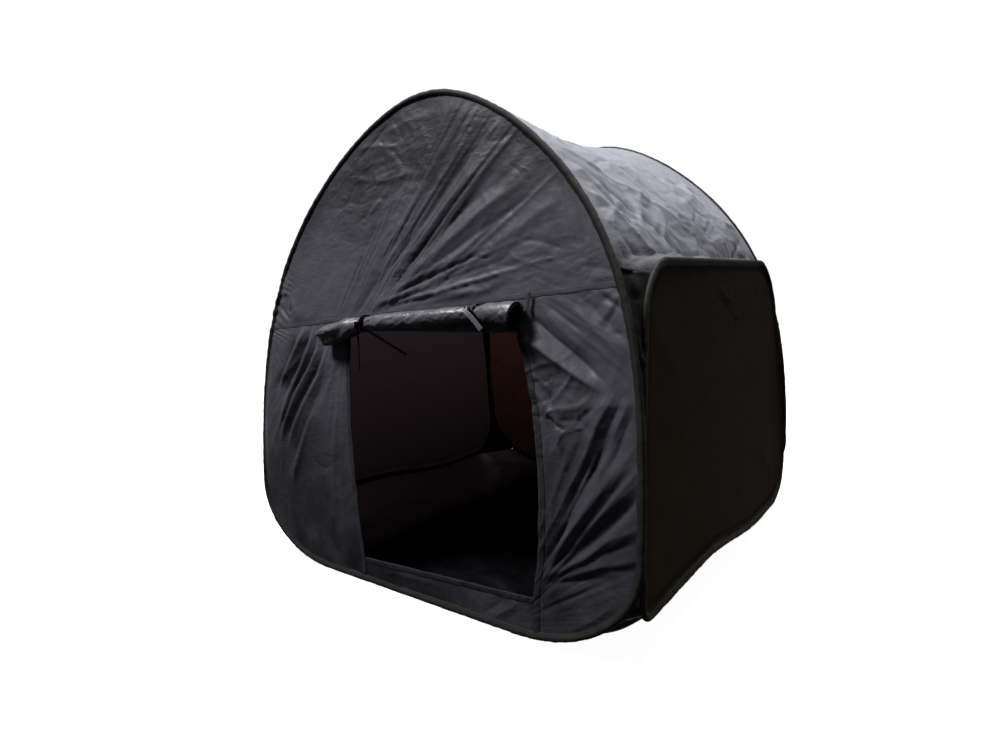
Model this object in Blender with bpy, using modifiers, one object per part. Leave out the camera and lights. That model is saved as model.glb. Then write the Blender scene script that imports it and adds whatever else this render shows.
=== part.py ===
"""Pop-up play tent: four sprung hoops in fabric sleeves, with cloth walls, roof and floor between them.

Metres, +Z up. The door looks towards -Y and the origin lies on the ground under the middle.
Every hoop is a curve object, and every cloth is a grid moved onto a patch between its edges.
"""

from math import asin, pi

import bmesh
import bpy
import numpy as np
from mathutils import Vector

# Overall size
WIDTH = 1.10
DEPTH = 1.05
HEIGHT = 1.10

# Stock
SLEEVE_R = 0.007
CLOTH = 0.002
TAPE = 0.0016
GAP = 0.0003
SEAT = SLEEVE_R + GAP
ROOF_SEAT = SLEEVE_R + 2.5 * GAP

# Front and rear arches, as half an outline across X
ARCH_HALF = WIDTH / 2 - SLEEVE_R
ARCH_FOOT_Z = SLEEVE_R
ARCH_TOP_Z = HEIGHT - SLEEVE_R
ARCH_SPRING_Z = 0.25
ARCH_SHOULDER = 0.26
ARCH_POINT = 0.39
FOOT_RX = 0.26
FOOT_RZ = 0.19
LEAN = 0.125
LEAN_POWER = 1.5

# Side hoops, as an outline along Y
SIDE_TOP_Z = 0.715
SIDE_TOP_R = 0.12
SIDE_FRONT_R = 0.035
SIDE_REAR_R = 0.13
SIDE_LIFT_FRONT = 0.090
SIDE_LIFT_REAR = 0.042
SIDE_TIP = 0.028
SIDE_OPEN = 0.022
SIDE_OPEN_FROM = 0.35

# Door seam and hems; the seam rises towards +X
SEAM_Z = 0.635
SEAM_TILT = 0.08
HEAD_Z = 0.612
HEM = 0.014
HEM_HEAD = 0.045

# Door edges: X at the sill, X that the bend is pulled to, X at the seam, height of the sill
LEFT_JAMB = (-0.150, -0.190, -0.205, 0.060)
RIGHT_JAMB = (0.325, 0.365, 0.265, 0.086)

# Roof and corner pieces
ROOF_JOIN_Z = 0.70
ROOF_SAG = 0.028
ROOF_HOLD = 5
GUSSET_TOE = 0.11

# Ground sheet: where its margins turn up, and where its corners are cut for the arches' feet
FLOOR_TURN = 0.74
FLOOR_CUT = 0.09
CUT_ANGLE = pi * 2 / 9
FOOT_GUSSET_TOP = 0.39 * pi

# Rolled door flap: place across X, height, radius
ROLL_WAIST = 0.017
ROLL = (
    (-0.275, 0.580, 0.021),
    (-0.258, 0.581, 0.0255),
    (-0.225, 0.587, 0.0268),
    (-0.180, 0.598, 0.0255),
    (-0.133, 0.6075, ROLL_WAIST),
    (-0.117, 0.609, ROLL_WAIST),
    (-0.080, 0.612, 0.0205),
    (-0.020, 0.615, 0.021),
    (0.050, 0.618, 0.022),
    (0.120, 0.622, 0.022),
    (0.182, 0.628, ROLL_WAIST),
    (0.198, 0.628, ROLL_WAIST),
    (0.228, 0.628, 0.023),
    (0.258, 0.626, 0.025),
    (0.288, 0.622, 0.026),
)
LEFT_TIE = 4
RIGHT_TIE = 10

# Ties; a tail is given as steps from its knot's centre: across X, away from the tent, up
TIE_WIDTH = 0.010
KNOT_R = 0.008
TAIL_R = 0.002
TAIL_POINTS = 15
LEFT_LONG_TAIL = (
    (0.000, 0.000, 0.000),
    (0.030, 0.003, -0.010),
    (0.078, 0.004, -0.030),
    (0.112, 0.002, -0.046),
    (0.146, -0.002, -0.0625),
)
LEFT_SHORT_TAIL = (
    (0.000, 0.000, 0.000),
    (0.003, 0.002, -0.020),
    (0.003, 0.001, -0.047),
    (-0.004, -0.004, -0.076),
    (-0.011, -0.008, -0.105),
)
RIGHT_TAIL = (
    (0.000, 0.000, 0.000),
    (0.022, 0.003, -0.016),
    (0.041, 0.004, -0.037),
    (0.047, 0.002, -0.073),
    (0.0415, -0.003, -0.113),
)
LOOP_X = 0.301
LOOP_WIDTH = 0.009
LOOP_DROP = 0.042
LOOP_SLANT = 0.20

# Vertices round an arch, from the middle of its foot
FLAT_STEPS = 3
TURN_STEPS = 6
CORNER = FLAT_STEPS + TURN_STEPS // 2
CORNER_END = FLAT_STEPS + TURN_STEPS
ARCH_STEPS = (5, 10)
TOP = CORNER_END + sum(ARCH_STEPS)
CROWN = 6

# Vertices round a side hoop, from half-way round its low front corner
ARC_STEPS = 4
EDGE_STEPS = (8, 5, 8, 5)
REAR_LOW, REAR_TOP, FRONT_TOP, ALL_ROUND = (sum(EDGE_STEPS[:n]) + n * ARC_STEPS for n in (1, 2, 3, 4))
FRONT_TOE = (2.45, -1.3)
REAR_TOE = (9.6, 13.2)

# Finishes as sRGB hex, roughness
SLEEVE_COLOUR = ("1b2022", 0.75)
FRONT_COLOUR = ("33333b", 0.55)
SIDE_COLOUR = ("1c1a17", 0.50)
ROOF_COLOUR = ("4b4b50", 0.55)
REAR_COLOUR = ("2e2620", 0.60)
FLOOR_COLOUR = ("16161a", 0.45)
TIE_COLOUR = ("202022", 0.70)
PALE_TIE_COLOUR = ("8c8a86", 0.70)


def clear_scene():
    for obj in list(bpy.data.objects):
        bpy.data.objects.remove(obj, do_unlink=True)


def linear(hex_colour):
    """sRGB hex to linear RGBA."""
    parts = [int(hex_colour[i : i + 2], 16) / 255 for i in (0, 2, 4)]
    return [c / 12.92 if c <= 0.04045 else ((c + 0.055) / 1.055) ** 2.4 for c in parts] + [1]


def material(name, finish):
    made = bpy.data.materials.get(name) or bpy.data.materials.new(name)
    made.use_nodes = True
    shader = made.node_tree.nodes["Principled BSDF"]
    shader.inputs["Base Color"].default_value = linear(finish[0])
    shader.inputs["Roughness"].default_value = finish[1]
    shader.inputs["Metallic"].default_value = 0
    return made


def finished(obj, name, look, parts):
    """Names the object, gives it its finish and puts it in the tent's collection."""
    obj.name = name
    obj.data.name = name
    obj.data.materials.append(look)
    parts.objects.link(obj)
    return obj


# Shapes of the frame


def smooth(t):
    t = np.clip(t, 0, 1)
    return t * t * (3 - 2 * t)


def lean(z):
    """How far an arch has leaned in at this height."""
    return LEAN * (np.clip(z, 0, HEIGHT) / HEIGHT) ** LEAN_POWER


def face_y(z):
    """Y of the front arch and of the cloth in it; the rear is its mirror image."""
    return -(DEPTH / 2 - SLEEVE_R) + lean(z)


def front_points(flat, side=-1, out=0.0):
    """Points across X and Z placed on the front face, or on the rear face where side is 1."""
    flat = np.asarray(flat, float)
    y = -side * (face_y(flat[..., 1]) - out)
    return np.stack([flat[..., 0], y, flat[..., 1]], axis=-1)


def foot_corner(turn):
    """Points round the low corner of an arch, at angles from the ground."""
    x = ARCH_HALF - FOOT_RX * (1 - np.sin(turn))
    z = ARCH_FOOT_Z + FOOT_RZ * (1 - np.cos(turn))
    return np.stack([x, z], axis=1)


def arch_outline():
    """Closed outline of an arch across X and Z, from the middle of its foot, anticlockwise.

    No vertex lies where the door seam meets it, on either side.
    """
    flat = np.linspace(0, ARCH_HALF - FOOT_RX, FLAT_STEPS + 1)[:-1]
    foot = np.stack([flat, np.full(FLAT_STEPS, ARCH_FOOT_Z)], axis=1)
    corner = foot_corner(np.linspace(0, pi / 2, TURN_STEPS + 1))
    rise = ARCH_TOP_Z - ARCH_SPRING_Z
    reach = SEAM_TILT * ARCH_HALF + HEM
    below, above = (asin((SEAM_Z + step - ARCH_SPRING_Z) / rise) for step in (-reach, reach))
    angle = np.concatenate(
        [np.linspace(0, below, ARCH_STEPS[0]), np.linspace(above, pi / 2, ARCH_STEPS[1])]
    )
    u = np.sin(angle)
    x = ARCH_HALF * np.cos(angle) * (1 + ARCH_SHOULDER * u**2 - ARCH_POINT * u**4)
    arch = np.stack([np.minimum(x, ARCH_HALF), ARCH_SPRING_Z + rise * u], axis=1)
    half = np.concatenate([foot, corner, arch])
    half[-1, 0] = 0
    other = half[-2:0:-1] * (-1, 1)
    return np.concatenate([half, other])


def rounded(corners, radii, arc_steps, edge_steps):
    """Closed outline through rounded corners, starting half-way round the first one."""
    count = len(corners)
    points = []
    for i in range(count):
        here, before, after = (np.array(corners[j % count]) for j in (i, i - 1, i + 1))
        back = (before - here) / np.linalg.norm(before - here)
        ahead = (after - here) / np.linalg.norm(after - here)
        centre = here + radii[i] * (back + ahead)
        for turn in np.linspace(0, pi / 2, arc_steps + 1):
            points.append(centre - radii[i] * (ahead * np.cos(turn) + back * np.sin(turn)))
        end = points[-1]
        following = np.array(corners[(i + 1) % count])
        start = following - radii[(i + 1) % count] * ahead
        for t in np.arange(1, edge_steps[i]) / edge_steps[i]:
            points.append(end + t * (start - end))
    return np.roll(np.array(points), -(arc_steps // 2), axis=0)


def side_outline():
    """Closed outline of a side hoop across Y and Z, from its low front corner, with its leaning ends."""
    half = DEPTH / 2 - SLEEVE_R - 2 * SLEEVE_R - GAP
    corners = ((-half, 0), (half, 0), (half, SIDE_TOP_Z), (-half, SIDE_TOP_Z))
    radii = (SIDE_FRONT_R, SIDE_REAR_R, SIDE_TOP_R, SIDE_TOP_R)
    flat = rounded(corners, radii, ARC_STEPS, EDGE_STEPS)
    y, z = flat[:, 0], flat[:, 1]
    drop = SIDE_LIFT_FRONT - SIDE_LIFT_REAR
    lift = SIDE_LIFT_REAR + drop * smooth((0.25 - y) / 0.45)
    z = z + (1 - z / SIDE_TOP_Z) * lift
    opened = SIDE_OPEN * smooth((z - SIDE_OPEN_FROM) / (SIDE_TOP_Z - SIDE_OPEN_FROM))
    y = y * (1 - (lean(z) + opened) / half)
    return np.stack([y, z], axis=1)


def side_points(flat, side, inwards=0.0):
    """Points across Y and Z placed on the wall at +X, or at -X where side is -1."""
    flat = np.asarray(flat, float)
    x = ARCH_HALF - 0.001 - SIDE_TIP * (flat[..., 1] / SIDE_TOP_Z) ** 2 - inwards
    return np.stack([side * x, flat[..., 0], flat[..., 1]], axis=-1)


def inset(ring, distance):
    """An anticlockwise closed outline moved inwards, every edge by the same distance."""
    ahead = np.roll(ring, -1, axis=0) - ring
    ahead /= np.linalg.norm(ahead, axis=1)[:, None]
    back = np.roll(ahead, 1, axis=0)
    left = np.stack([-ahead[:, 1], ahead[:, 0]], axis=1)
    left_back = np.stack([-back[:, 1], back[:, 0]], axis=1)
    mitre = left + left_back
    mitre /= np.linalg.norm(mitre, axis=1)[:, None]
    return ring + mitre * (distance / (mitre * left).sum(axis=1))[:, None]


def stretch(ring, start, end):
    """The part of a closed outline between two places, each a vertex number with a fraction."""
    places = [start, *range(int(np.floor(start)) + 1, int(np.ceil(end))), end]
    count = len(ring)
    points = []
    for place in places:
        low = int(np.floor(place))
        part = place - low
        points.append(ring[low % count] * (1 - part) + ring[(low + 1) % count] * part)
    return np.array(points)


def place_of(ring, axis, value, start, end):
    """Where along a rising stretch of the outline, between two vertices, it reaches this value."""
    numbers = np.arange(start, end + 1)
    values = ring[numbers % len(ring), axis]
    if values[0] > values[-1]:
        return float(np.interp(-value, -values, numbers))
    return float(np.interp(value, values, numbers))


def at_heights(ring, heights, start, end):
    """Points of the outline at these heights, on one side of it between two vertices."""
    places = [place_of(ring, 1, z, start, end) for z in heights]
    return np.array([stretch(ring, place, place + 1)[0] for place in places])


def patch(foot, head, left, right, hold=1):
    """Cloth spanning four edges, in rows from foot to head.

    A higher hold keeps the side edges' bends near them.
    """
    u = np.linspace(0, 1, len(foot))[None, :, None]
    v = np.linspace(0, 1, len(left))[:, None, None]
    grid = (1 - v) * foot[None] + v * head[None]
    left_bend = left[:, None] - grid[:, :1]
    right_bend = right[:, None] - grid[:, -1:]
    return grid + (1 - u) ** hold * left_bend + u**hold * right_bend


# Makers


def tube(name, points, radius, look, parts, sides=8, radii=None, closed=False):
    """A round bar along the points, as a curve with a bevel and filled ends."""
    data = bpy.data.curves.new(name, "CURVE")
    data.dimensions = "3D"
    data.bevel_depth = radius
    data.bevel_resolution = sides // 2 - 2
    data.use_fill_caps = not closed
    spline = data.splines.new("POLY")
    spline.points.add(len(points) - 1)
    for i, point in enumerate(points):
        spline.points[i].co = (*point, 1)
        spline.points[i].radius = radii[i] / radius if radii is not None else 1
    spline.use_cyclic_u = closed
    return finished(bpy.data.objects.new(name, data), name, look, parts)


def cloth(name, grid, look, parts, thickness=CLOTH, offset=0.0):
    """A thin solid on a grid of points, half its thickness on each side unless offset says otherwise."""
    rows, columns = grid.shape[0] - 1, grid.shape[1] - 1
    shape = bmesh.new()
    bmesh.ops.create_grid(shape, x_segments=columns, y_segments=rows, size=1)
    for vertex in shape.verts:
        column = round((vertex.co.x + 1) / 2 * columns)
        row = round((vertex.co.y + 1) / 2 * rows)
        vertex.co = grid[row, column]
    data = bpy.data.meshes.new(name)
    shape.to_mesh(data)
    shape.free()
    obj = finished(bpy.data.objects.new(name, data), name, look, parts)
    wall = obj.modifiers.new("Thickness", "SOLIDIFY")
    wall.thickness = thickness
    wall.offset = offset
    wall.use_rim = True
    data.shade_smooth()
    return obj


def ribbon(name, foot, head, rows, look, parts, thickness=TAPE):
    """A flat strip of cloth between two rows of points."""
    t = np.linspace(0, 1, rows + 1)[:, None, None]
    grid = (1 - t) * np.asarray(foot)[None] + t * np.asarray(head)[None]
    return cloth(name, grid, look, parts, thickness)


# Sub-parts


def hoops(parts, arch, side):
    look = material("hoop_sleeve", SLEEVE_COLOUR)
    tube("front_hoop", front_points(arch, -1), SLEEVE_R, look, parts, closed=True)
    tube("rear_hoop", front_points(arch, 1), SLEEVE_R, look, parts, closed=True)
    tube("left_hoop", side_points(side, -1), SLEEVE_R, look, parts, closed=True)
    tube("right_hoop", side_points(side, 1), SLEEVE_R, look, parts, closed=True)


def seam_level(x):
    """Height of the door seam across X."""
    return SEAM_Z + SEAM_TILT * np.asarray(x)


def seam_place(ring, side, shift):
    """Where the outline meets the door seam, moved up by shift, as a place on the half at +X."""
    unsloped = ring - np.stack([np.zeros(len(ring)), SEAM_TILT * side * ring[:, 0]], axis=1)
    return place_of(unsloped, 1, SEAM_Z + shift, CORNER_END, TOP)


def jamb(ends, z):
    """X of a door edge at this height: upright below the sill, then a bend pulled to its middle."""
    foot, middle, head, sill = ends
    t = np.clip((np.asarray(z) - sill) / (SEAM_Z - sill), 0, None)
    return (1 - t) ** 2 * foot + 2 * t * (1 - t) * middle + t**2 * head


def jamb_edge(ends, shift, heights):
    return np.stack([jamb(ends, heights) + shift, heights], axis=1)


def jamb_top(ends):
    """Height at which a door edge meets the seam."""
    return float(seam_level(jamb(ends, seam_level(ends[2]))))


def front_wall(parts, arch):
    """The gable over the door seam, the cloth on each side of the door, and the low sill."""
    look = material("front_cloth", FRONT_COLOUR)
    ring = inset(arch, SEAT)
    low = ring[0, 1]

    right = stretch(ring, seam_place(ring, 1, GAP / 2), TOP - CROWN)
    left = stretch(ring, seam_place(ring, -1, GAP / 2), TOP - CROWN) * (-1, 1)
    over = stretch(ring, TOP - CROWN, TOP + CROWN)[::-1]
    foot = np.linspace(left[0], right[0], len(over))
    cloth("front_gable_panel", front_points(patch(foot, over, left, right)), look, parts)

    for name, ends, side in (
        ("front_left_panel", LEFT_JAMB, -1),
        ("front_right_panel", RIGHT_JAMB, 1),
    ):
        mirrored = (side, 1)
        shift = GAP / 2
        start = place_of(ring, 0, side * float(jamb(ends, low)) + shift, -2, CORNER)
        foot = stretch(ring, start, CORNER) * mirrored
        outer = stretch(ring, CORNER, seam_place(ring, side, -GAP / 2)) * mirrored
        heights = np.linspace(ends[3], jamb_top(ends) - GAP / 2, len(outer) - 1)
        inner = jamb_edge(ends, side * shift, np.concatenate([foot[:1, 1], heights]))
        head = np.linspace(inner[-1], outer[-1], len(foot))
        grid = patch(foot, head, inner, outer)
        cloth(name, front_points(grid), look, parts)

    start = place_of(ring, 0, float(jamb(LEFT_JAMB, low)) + GAP / 2, -CORNER, CORNER)
    end = place_of(ring, 0, float(jamb(RIGHT_JAMB, low)) - GAP / 2, -CORNER, CORNER)
    foot = stretch(ring, start, end)
    left = jamb_edge(LEFT_JAMB, GAP / 2, np.linspace(foot[0, 1], LEFT_JAMB[3], 3))
    right = jamb_edge(RIGHT_JAMB, -GAP / 2, np.linspace(foot[-1, 1], RIGHT_JAMB[3], 3))
    head = np.linspace(left[-1], right[-1], len(foot))
    cloth("front_sill_panel", front_points(patch(foot, head, left, right)), look, parts)


def door_trim(parts, arch):
    """Hems round the doorway, the band on the seam, and the flat top of the door flap."""
    look = material("front_cloth", FRONT_COLOUR)
    out = CLOTH / 2 + GAP + TAPE / 2
    for name, ends, side in (
        ("door_hem_left", LEFT_JAMB, -1),
        ("door_hem_right", RIGHT_JAMB, 1),
    ):
        z = np.linspace(ends[3] + HEM + GAP, HEAD_Z - HEM_HEAD, 9)
        edge = jamb(ends, z)
        inner = front_points(np.stack([edge + side * GAP, z], axis=1), out=out)
        outer = front_points(np.stack([edge + side * HEM, z], axis=1), out=out)
        ribbon(name, inner, outer, 1, look, parts)
    sill = np.linspace((LEFT_JAMB[0], LEFT_JAMB[3]), (RIGHT_JAMB[0], RIGHT_JAMB[3]), 9)
    foot = front_points(sill - (0, HEM), out=out)
    head = front_points(sill - (0, GAP), out=out)
    ribbon("sill_hem", foot, head, 1, look, parts)

    places = [seam_place(arch, side, HEM / 2) for side in (-1, 1)]
    left, right = (stretch(arch, place, place + 1)[0, 0] - 1.2 * SLEEVE_R for place in places)
    x = np.linspace(-left, right, 15)
    foot = front_points(np.stack([x, seam_level(x) - HEM / 2], axis=1), out=out)
    head = front_points(np.stack([x, seam_level(x) + HEM / 2], axis=1), out=out)
    ribbon("front_seam_band", foot, head, 1, look, parts)

    edges = []
    for ends, shift in ((LEFT_JAMB, 1.5 * GAP), (RIGHT_JAMB, -1.5 * GAP)):
        edges.append(jamb_edge(ends, shift, np.linspace(HEAD_Z, jamb_top(ends) - GAP / 2, 4)))
    t = np.linspace(0, 1, 9)[None, :, None]
    grid = (1 - t) * edges[0][:, None] + t * edges[1][:, None]
    cloth("door_flap_top", front_points(grid), look, parts)


def rear_wall(parts, arch):
    look = material("rear_cloth", REAR_COLOUR)
    ring = inset(arch, SEAT)
    foot = stretch(ring, -CORNER, CORNER)
    right = stretch(ring, CORNER, TOP - CROWN)
    head = stretch(ring, TOP - CROWN, TOP + CROWN)[::-1]
    grid = patch(foot, head, right * (-1, 1), right)
    cloth("rear_panel", front_points(grid, 1), look, parts)


def side_walls(parts, side):
    look = material("side_cloth", SIDE_COLOUR)
    ring = inset(side, SEAT)
    foot = stretch(ring, 0, REAR_LOW)
    rear = stretch(ring, REAR_LOW, REAR_TOP)
    head = stretch(ring, REAR_TOP, FRONT_TOP)[::-1]
    front = stretch(ring, FRONT_TOP, ALL_ROUND)[::-1]
    grid = patch(foot, head, front, rear)
    cloth("left_side_panel", side_points(grid, -1), look, parts)
    cloth("right_side_panel", side_points(grid, 1), look, parts)


def roof(parts, arch, side):
    """One sheet over both arches, from the top of one side hoop to the top of the other."""
    look = material("roof_cloth", ROOF_COLOUR)
    start = place_of(arch, 1, ROOF_JOIN_Z, CORNER_END, TOP)
    over = front_points(stretch(arch, start, 2 * TOP - start)[::-1]) + (0, ROOF_SEAT, 0)
    outer = inset(side, -SEAT - CLOTH / 2)
    eave = stretch(outer, REAR_TOP, FRONT_TOP)[::-1]
    left = side_points(eave, -1)
    right = side_points(eave, 1)
    front = np.concatenate([left[:1], over, right[:1]])
    rear = np.concatenate([left[-1:], over * (1, -1, 1), right[-1:]])
    grid = patch(front, rear, left, right, hold=ROOF_HOLD)
    u = np.linspace(0, 1, grid.shape[1])[None, :]
    v = np.linspace(0, 1, grid.shape[0])[:, None]
    grid[..., 2] -= ROOF_SAG * 4 * v * (1 - v) * np.sin(pi * u) ** 2
    cloth("roof_sheet", grid, look, parts)


def gussets(parts, arch, side):
    """The narrow pieces between an arch and a side hoop, where the hoops draw apart."""
    look = material("side_cloth", SIDE_COLOUR)
    low = SIDE_OPEN_FROM + GUSSET_TOE
    levels = np.linspace(0, 1, 7)
    below = 2 * CLOTH + 4 * GAP
    hoop = at_heights(arch, low + levels * (ROOF_JOIN_Z - below - low), CORNER_END, TOP)
    rim = inset(side, -ROOF_SEAT - CLOTH)
    head = rim[FRONT_TOP, 1] - below
    edge = at_heights(rim, low + levels * (head - low), FRONT_TOP, ALL_ROUND - 2)
    inner = front_points(hoop) + (0, ROOF_SEAT, 0)
    outer = side_points(edge, 1)
    t = np.linspace(0, 1, 3)[None, :, None]
    grid = (1 - t) * inner[:, None] + t * outer[:, None]
    for name, mirrored in (
        ("front_right_gusset", (1, 1, 1)),
        ("front_left_gusset", (-1, 1, 1)),
        ("rear_right_gusset", (1, -1, 1)),
        ("rear_left_gusset", (-1, -1, 1)),
    ):
        cloth(name, grid * mirrored, look, parts)


def floor_rim(along, side):
    """Points of the ground sheet's right edge, from the front at 0 to the rear at 1."""
    y = (DEPTH / 2 - SLEEVE_R - ROOF_SEAT) * (2 * np.asarray(along) - 1)
    low = stretch(side, ARC_STEPS // 2, REAR_LOW - ARC_STEPS // 2)
    hoop_z = np.interp(y, low[:, 0], low[:, 1])
    cut_x, cut_z = foot_corner(np.array([CUT_ANGLE]))[0] - (0, ARCH_FOOT_Z)
    whole = smooth(np.minimum(along, 1 - along) / FLOOR_CUT)
    side_x = side_points(np.stack([y, hoop_z], axis=-1), 1)[..., 0] - ROOF_SEAT
    x = cut_x + (side_x - cut_x) * whole
    return np.stack([x, y, cut_z + (hoop_z - cut_z) * whole], axis=-1)


def floor(parts, side):
    """The ground sheet: flat on the ground, its side margins turned up to the side hoops."""
    look = material("floor_cloth", FLOOR_COLOUR)
    across = np.array([-1, -0.94, -0.87, -0.80, -FLOOR_TURN, -0.4, 0])
    across = np.concatenate([across, -across[-2::-1]])
    along = np.array([0, 0.045, FLOOR_CUT, 0.2, 0.35, 0.5, 0.65, 0.8, 1 - FLOOR_CUT, 0.955, 1])
    u, v = np.meshgrid(across, along)
    rim = floor_rim(v, side)
    turn = np.clip((np.abs(u) - FLOOR_TURN) / (1 - FLOOR_TURN), 0, 1) ** 2
    grid = np.stack([u * rim[..., 0], rim[..., 1], turn * rim[..., 2]], axis=-1)
    cloth("floor_sheet", grid, look, parts, offset=1.0)


def foot_gussets(parts, side):
    """The corner pieces above the ground sheet, between the feet of the arches and of the side hoops."""
    look = material("side_cloth", SIDE_COLOUR)
    turn = np.linspace(CUT_ANGLE, FOOT_GUSSET_TOP, 5)
    inner = front_points(foot_corner(turn)) + (0, ROOF_SEAT, 0)
    for end, at, toe in (("front", 1, FRONT_TOE), ("rear", -1, REAR_TOE)):
        places = np.linspace(*toe, len(turn))
        hoop = np.array([stretch(side, place, place + 1)[0] for place in places])
        outer = side_points(hoop, 1, ROOF_SEAT + TAPE)
        outer[:, 2] += np.linspace(ARCH_FOOT_Z, 0, len(turn))
        along = np.array([0, 0.045, FLOOR_CUT])
        foot = floor_rim(along if at > 0 else 1 - along, side) + (0, 0, ARCH_FOOT_Z)
        arch_side = inner * (1, at, 1)
        head = np.linspace(arch_side[-1], outer[-1], len(foot))
        grid = patch(foot, head, arch_side, outer)
        cloth(f"{end}_right_foot_gusset", grid, look, parts)
        cloth(f"{end}_left_foot_gusset", grid * (-1, 1, 1), look, parts)


# Rolled door flap with its ties


def roll_centre(index):
    """Centre of the rolled flap at this point of ROLL; it lies against the front cloth."""
    x, z, radius = np.array(ROLL)[index].T
    rest = np.maximum(radius, ROLL_WAIST + TAPE + 3 * GAP)
    return np.stack([x, face_y(z) - CLOTH / 2 - GAP - rest, z], axis=-1)


def rolled_door(parts):
    radii = np.array(ROLL)[:, 2]
    look = material("front_cloth", FRONT_COLOUR)
    centre = roll_centre(np.arange(len(ROLL)))
    tube("door_roll", centre, ROLL_WAIST, look, parts, sides=12, radii=radii)


def tie(parts, name, index, look, knot_down):
    """A band round a waist of the roll, with its knot in front. Returns the knot's centre."""
    before, after = (Vector(roll_centre(index + step)) for step in (0, 1))
    centre = (before + after) / 2
    shape = bmesh.new()
    inner = ROLL_WAIST + 2 * GAP
    bmesh.ops.create_cone(
        shape, cap_ends=False, segments=16, radius1=inner, radius2=inner, depth=TIE_WIDTH
    )
    data = bpy.data.meshes.new(name)
    shape.to_mesh(data)
    shape.free()
    band = finished(bpy.data.objects.new(name, data), name, look, parts)
    wall = band.modifiers.new("Thickness", "SOLIDIFY")
    wall.thickness = TAPE
    wall.offset = 1.0
    along = (after - before).normalized()
    band.location = centre
    band.rotation_mode = "QUATERNION"
    band.rotation_quaternion = along.to_track_quat("Z", "Y")
    data.shade_smooth()

    knot_name = name.replace("band", "knot")
    away = Vector((0, -1, -knot_down)).normalized()
    knot_at = centre + away * (inner + TAPE + 2 * GAP + KNOT_R)
    shape = bmesh.new()
    bmesh.ops.create_uvsphere(shape, u_segments=10, v_segments=7, radius=KNOT_R)
    data = bpy.data.meshes.new(knot_name)
    shape.to_mesh(data)
    shape.free()
    knot = finished(bpy.data.objects.new(knot_name, data), knot_name, look, parts)
    knot.location = knot_at
    data.shade_smooth()
    return knot_at


def smooth_route(points, count):
    """Evenly spaced points on a smooth curve through the given ones."""
    points = np.asarray(points, float)
    padded = np.concatenate([[2 * points[0] - points[1]], points, [2 * points[-1] - points[-2]]])
    t = np.linspace(0, 1, 24, endpoint=False)[:, None]
    runs = []
    for a, b, c, d in zip(padded, padded[1:], padded[2:], padded[3:]):
        squared = (2 * a - 5 * b + 4 * c - d) * t**2
        cubed = (3 * b - a - 3 * c + d) * t**3
        runs.append((2 * b + (c - a) * t + squared + cubed) / 2)
    dense = np.concatenate([*runs, points[-1:]])
    run = np.concatenate([[0], np.cumsum(np.linalg.norm(np.diff(dense, axis=0), axis=1))])
    at = np.linspace(0, run[-1], count)
    return np.stack([np.interp(at, run, dense[:, i]) for i in range(3)], axis=1)


def tail(parts, name, knot_at, steps, look):
    steps = np.array(steps) * (1, -1, 1)
    first = steps[1] / np.linalg.norm(steps[1])
    steps[0] = first * (KNOT_R + GAP)
    route = smooth_route(np.array(knot_at) + steps, TAIL_POINTS)
    tube(name, route, TAIL_R, look, parts)


def ties(parts):
    dark = material("tie_tape", TIE_COLOUR)
    pale = material("pale_tape", PALE_TIE_COLOUR)
    left = tie(parts, "tie_band_left", LEFT_TIE, dark, 0.0)
    right = tie(parts, "tie_band_right", RIGHT_TIE, pale, -0.4)
    tail(parts, "tie_tail_left_long", left, LEFT_LONG_TAIL, dark)
    tail(parts, "tie_tail_left_short", left, LEFT_SHORT_TAIL, dark)
    tail(parts, "tie_tail_right", right, RIGHT_TAIL, dark)

    out = CLOTH / 2 + 1.5 * TAPE + 3 * GAP
    seam = float(seam_level(LOOP_X))
    z = np.linspace(seam + HEM / 2, seam - LOOP_DROP, 6)
    x = LOOP_X - LOOP_SLANT * (seam - z)
    near = front_points(np.stack([x, z], axis=1), out=out)
    far = front_points(np.stack([x + LOOP_WIDTH, z], axis=1), out=out)
    ribbon("tie_loop_right", near, far, 1, pale, parts)


def main():
    clear_scene()
    parts = bpy.data.collections.new("play_tent")
    bpy.context.scene.collection.children.link(parts)
    arch = arch_outline()
    side = side_outline()
    hoops(parts, arch, side)
    front_wall(parts, arch)
    door_trim(parts, arch)
    rear_wall(parts, arch)
    side_walls(parts, side)
    roof(parts, arch, side)
    gussets(parts, arch, side)
    floor(parts, side)
    foot_gussets(parts, side)
    rolled_door(parts)
    ties(parts)


main()
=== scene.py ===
"""Pop-up play tent: the look of its cloth, sleeves, rolled door and ties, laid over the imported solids.

Metres, +Z up, the door towards -Y. Each piece is a surface worked out on a grid of points, in the
place of the solid it stands for. Folds and creases are moved points; weave and stitches are material.
"""

import logging
from collections.abc import Callable, Mapping, Sequence
from dataclasses import dataclass
from enum import Enum
from functools import partial
from math import cos, pi, radians, sin

import bpy
import numpy as np
from mathutils import Matrix, Vector


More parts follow.
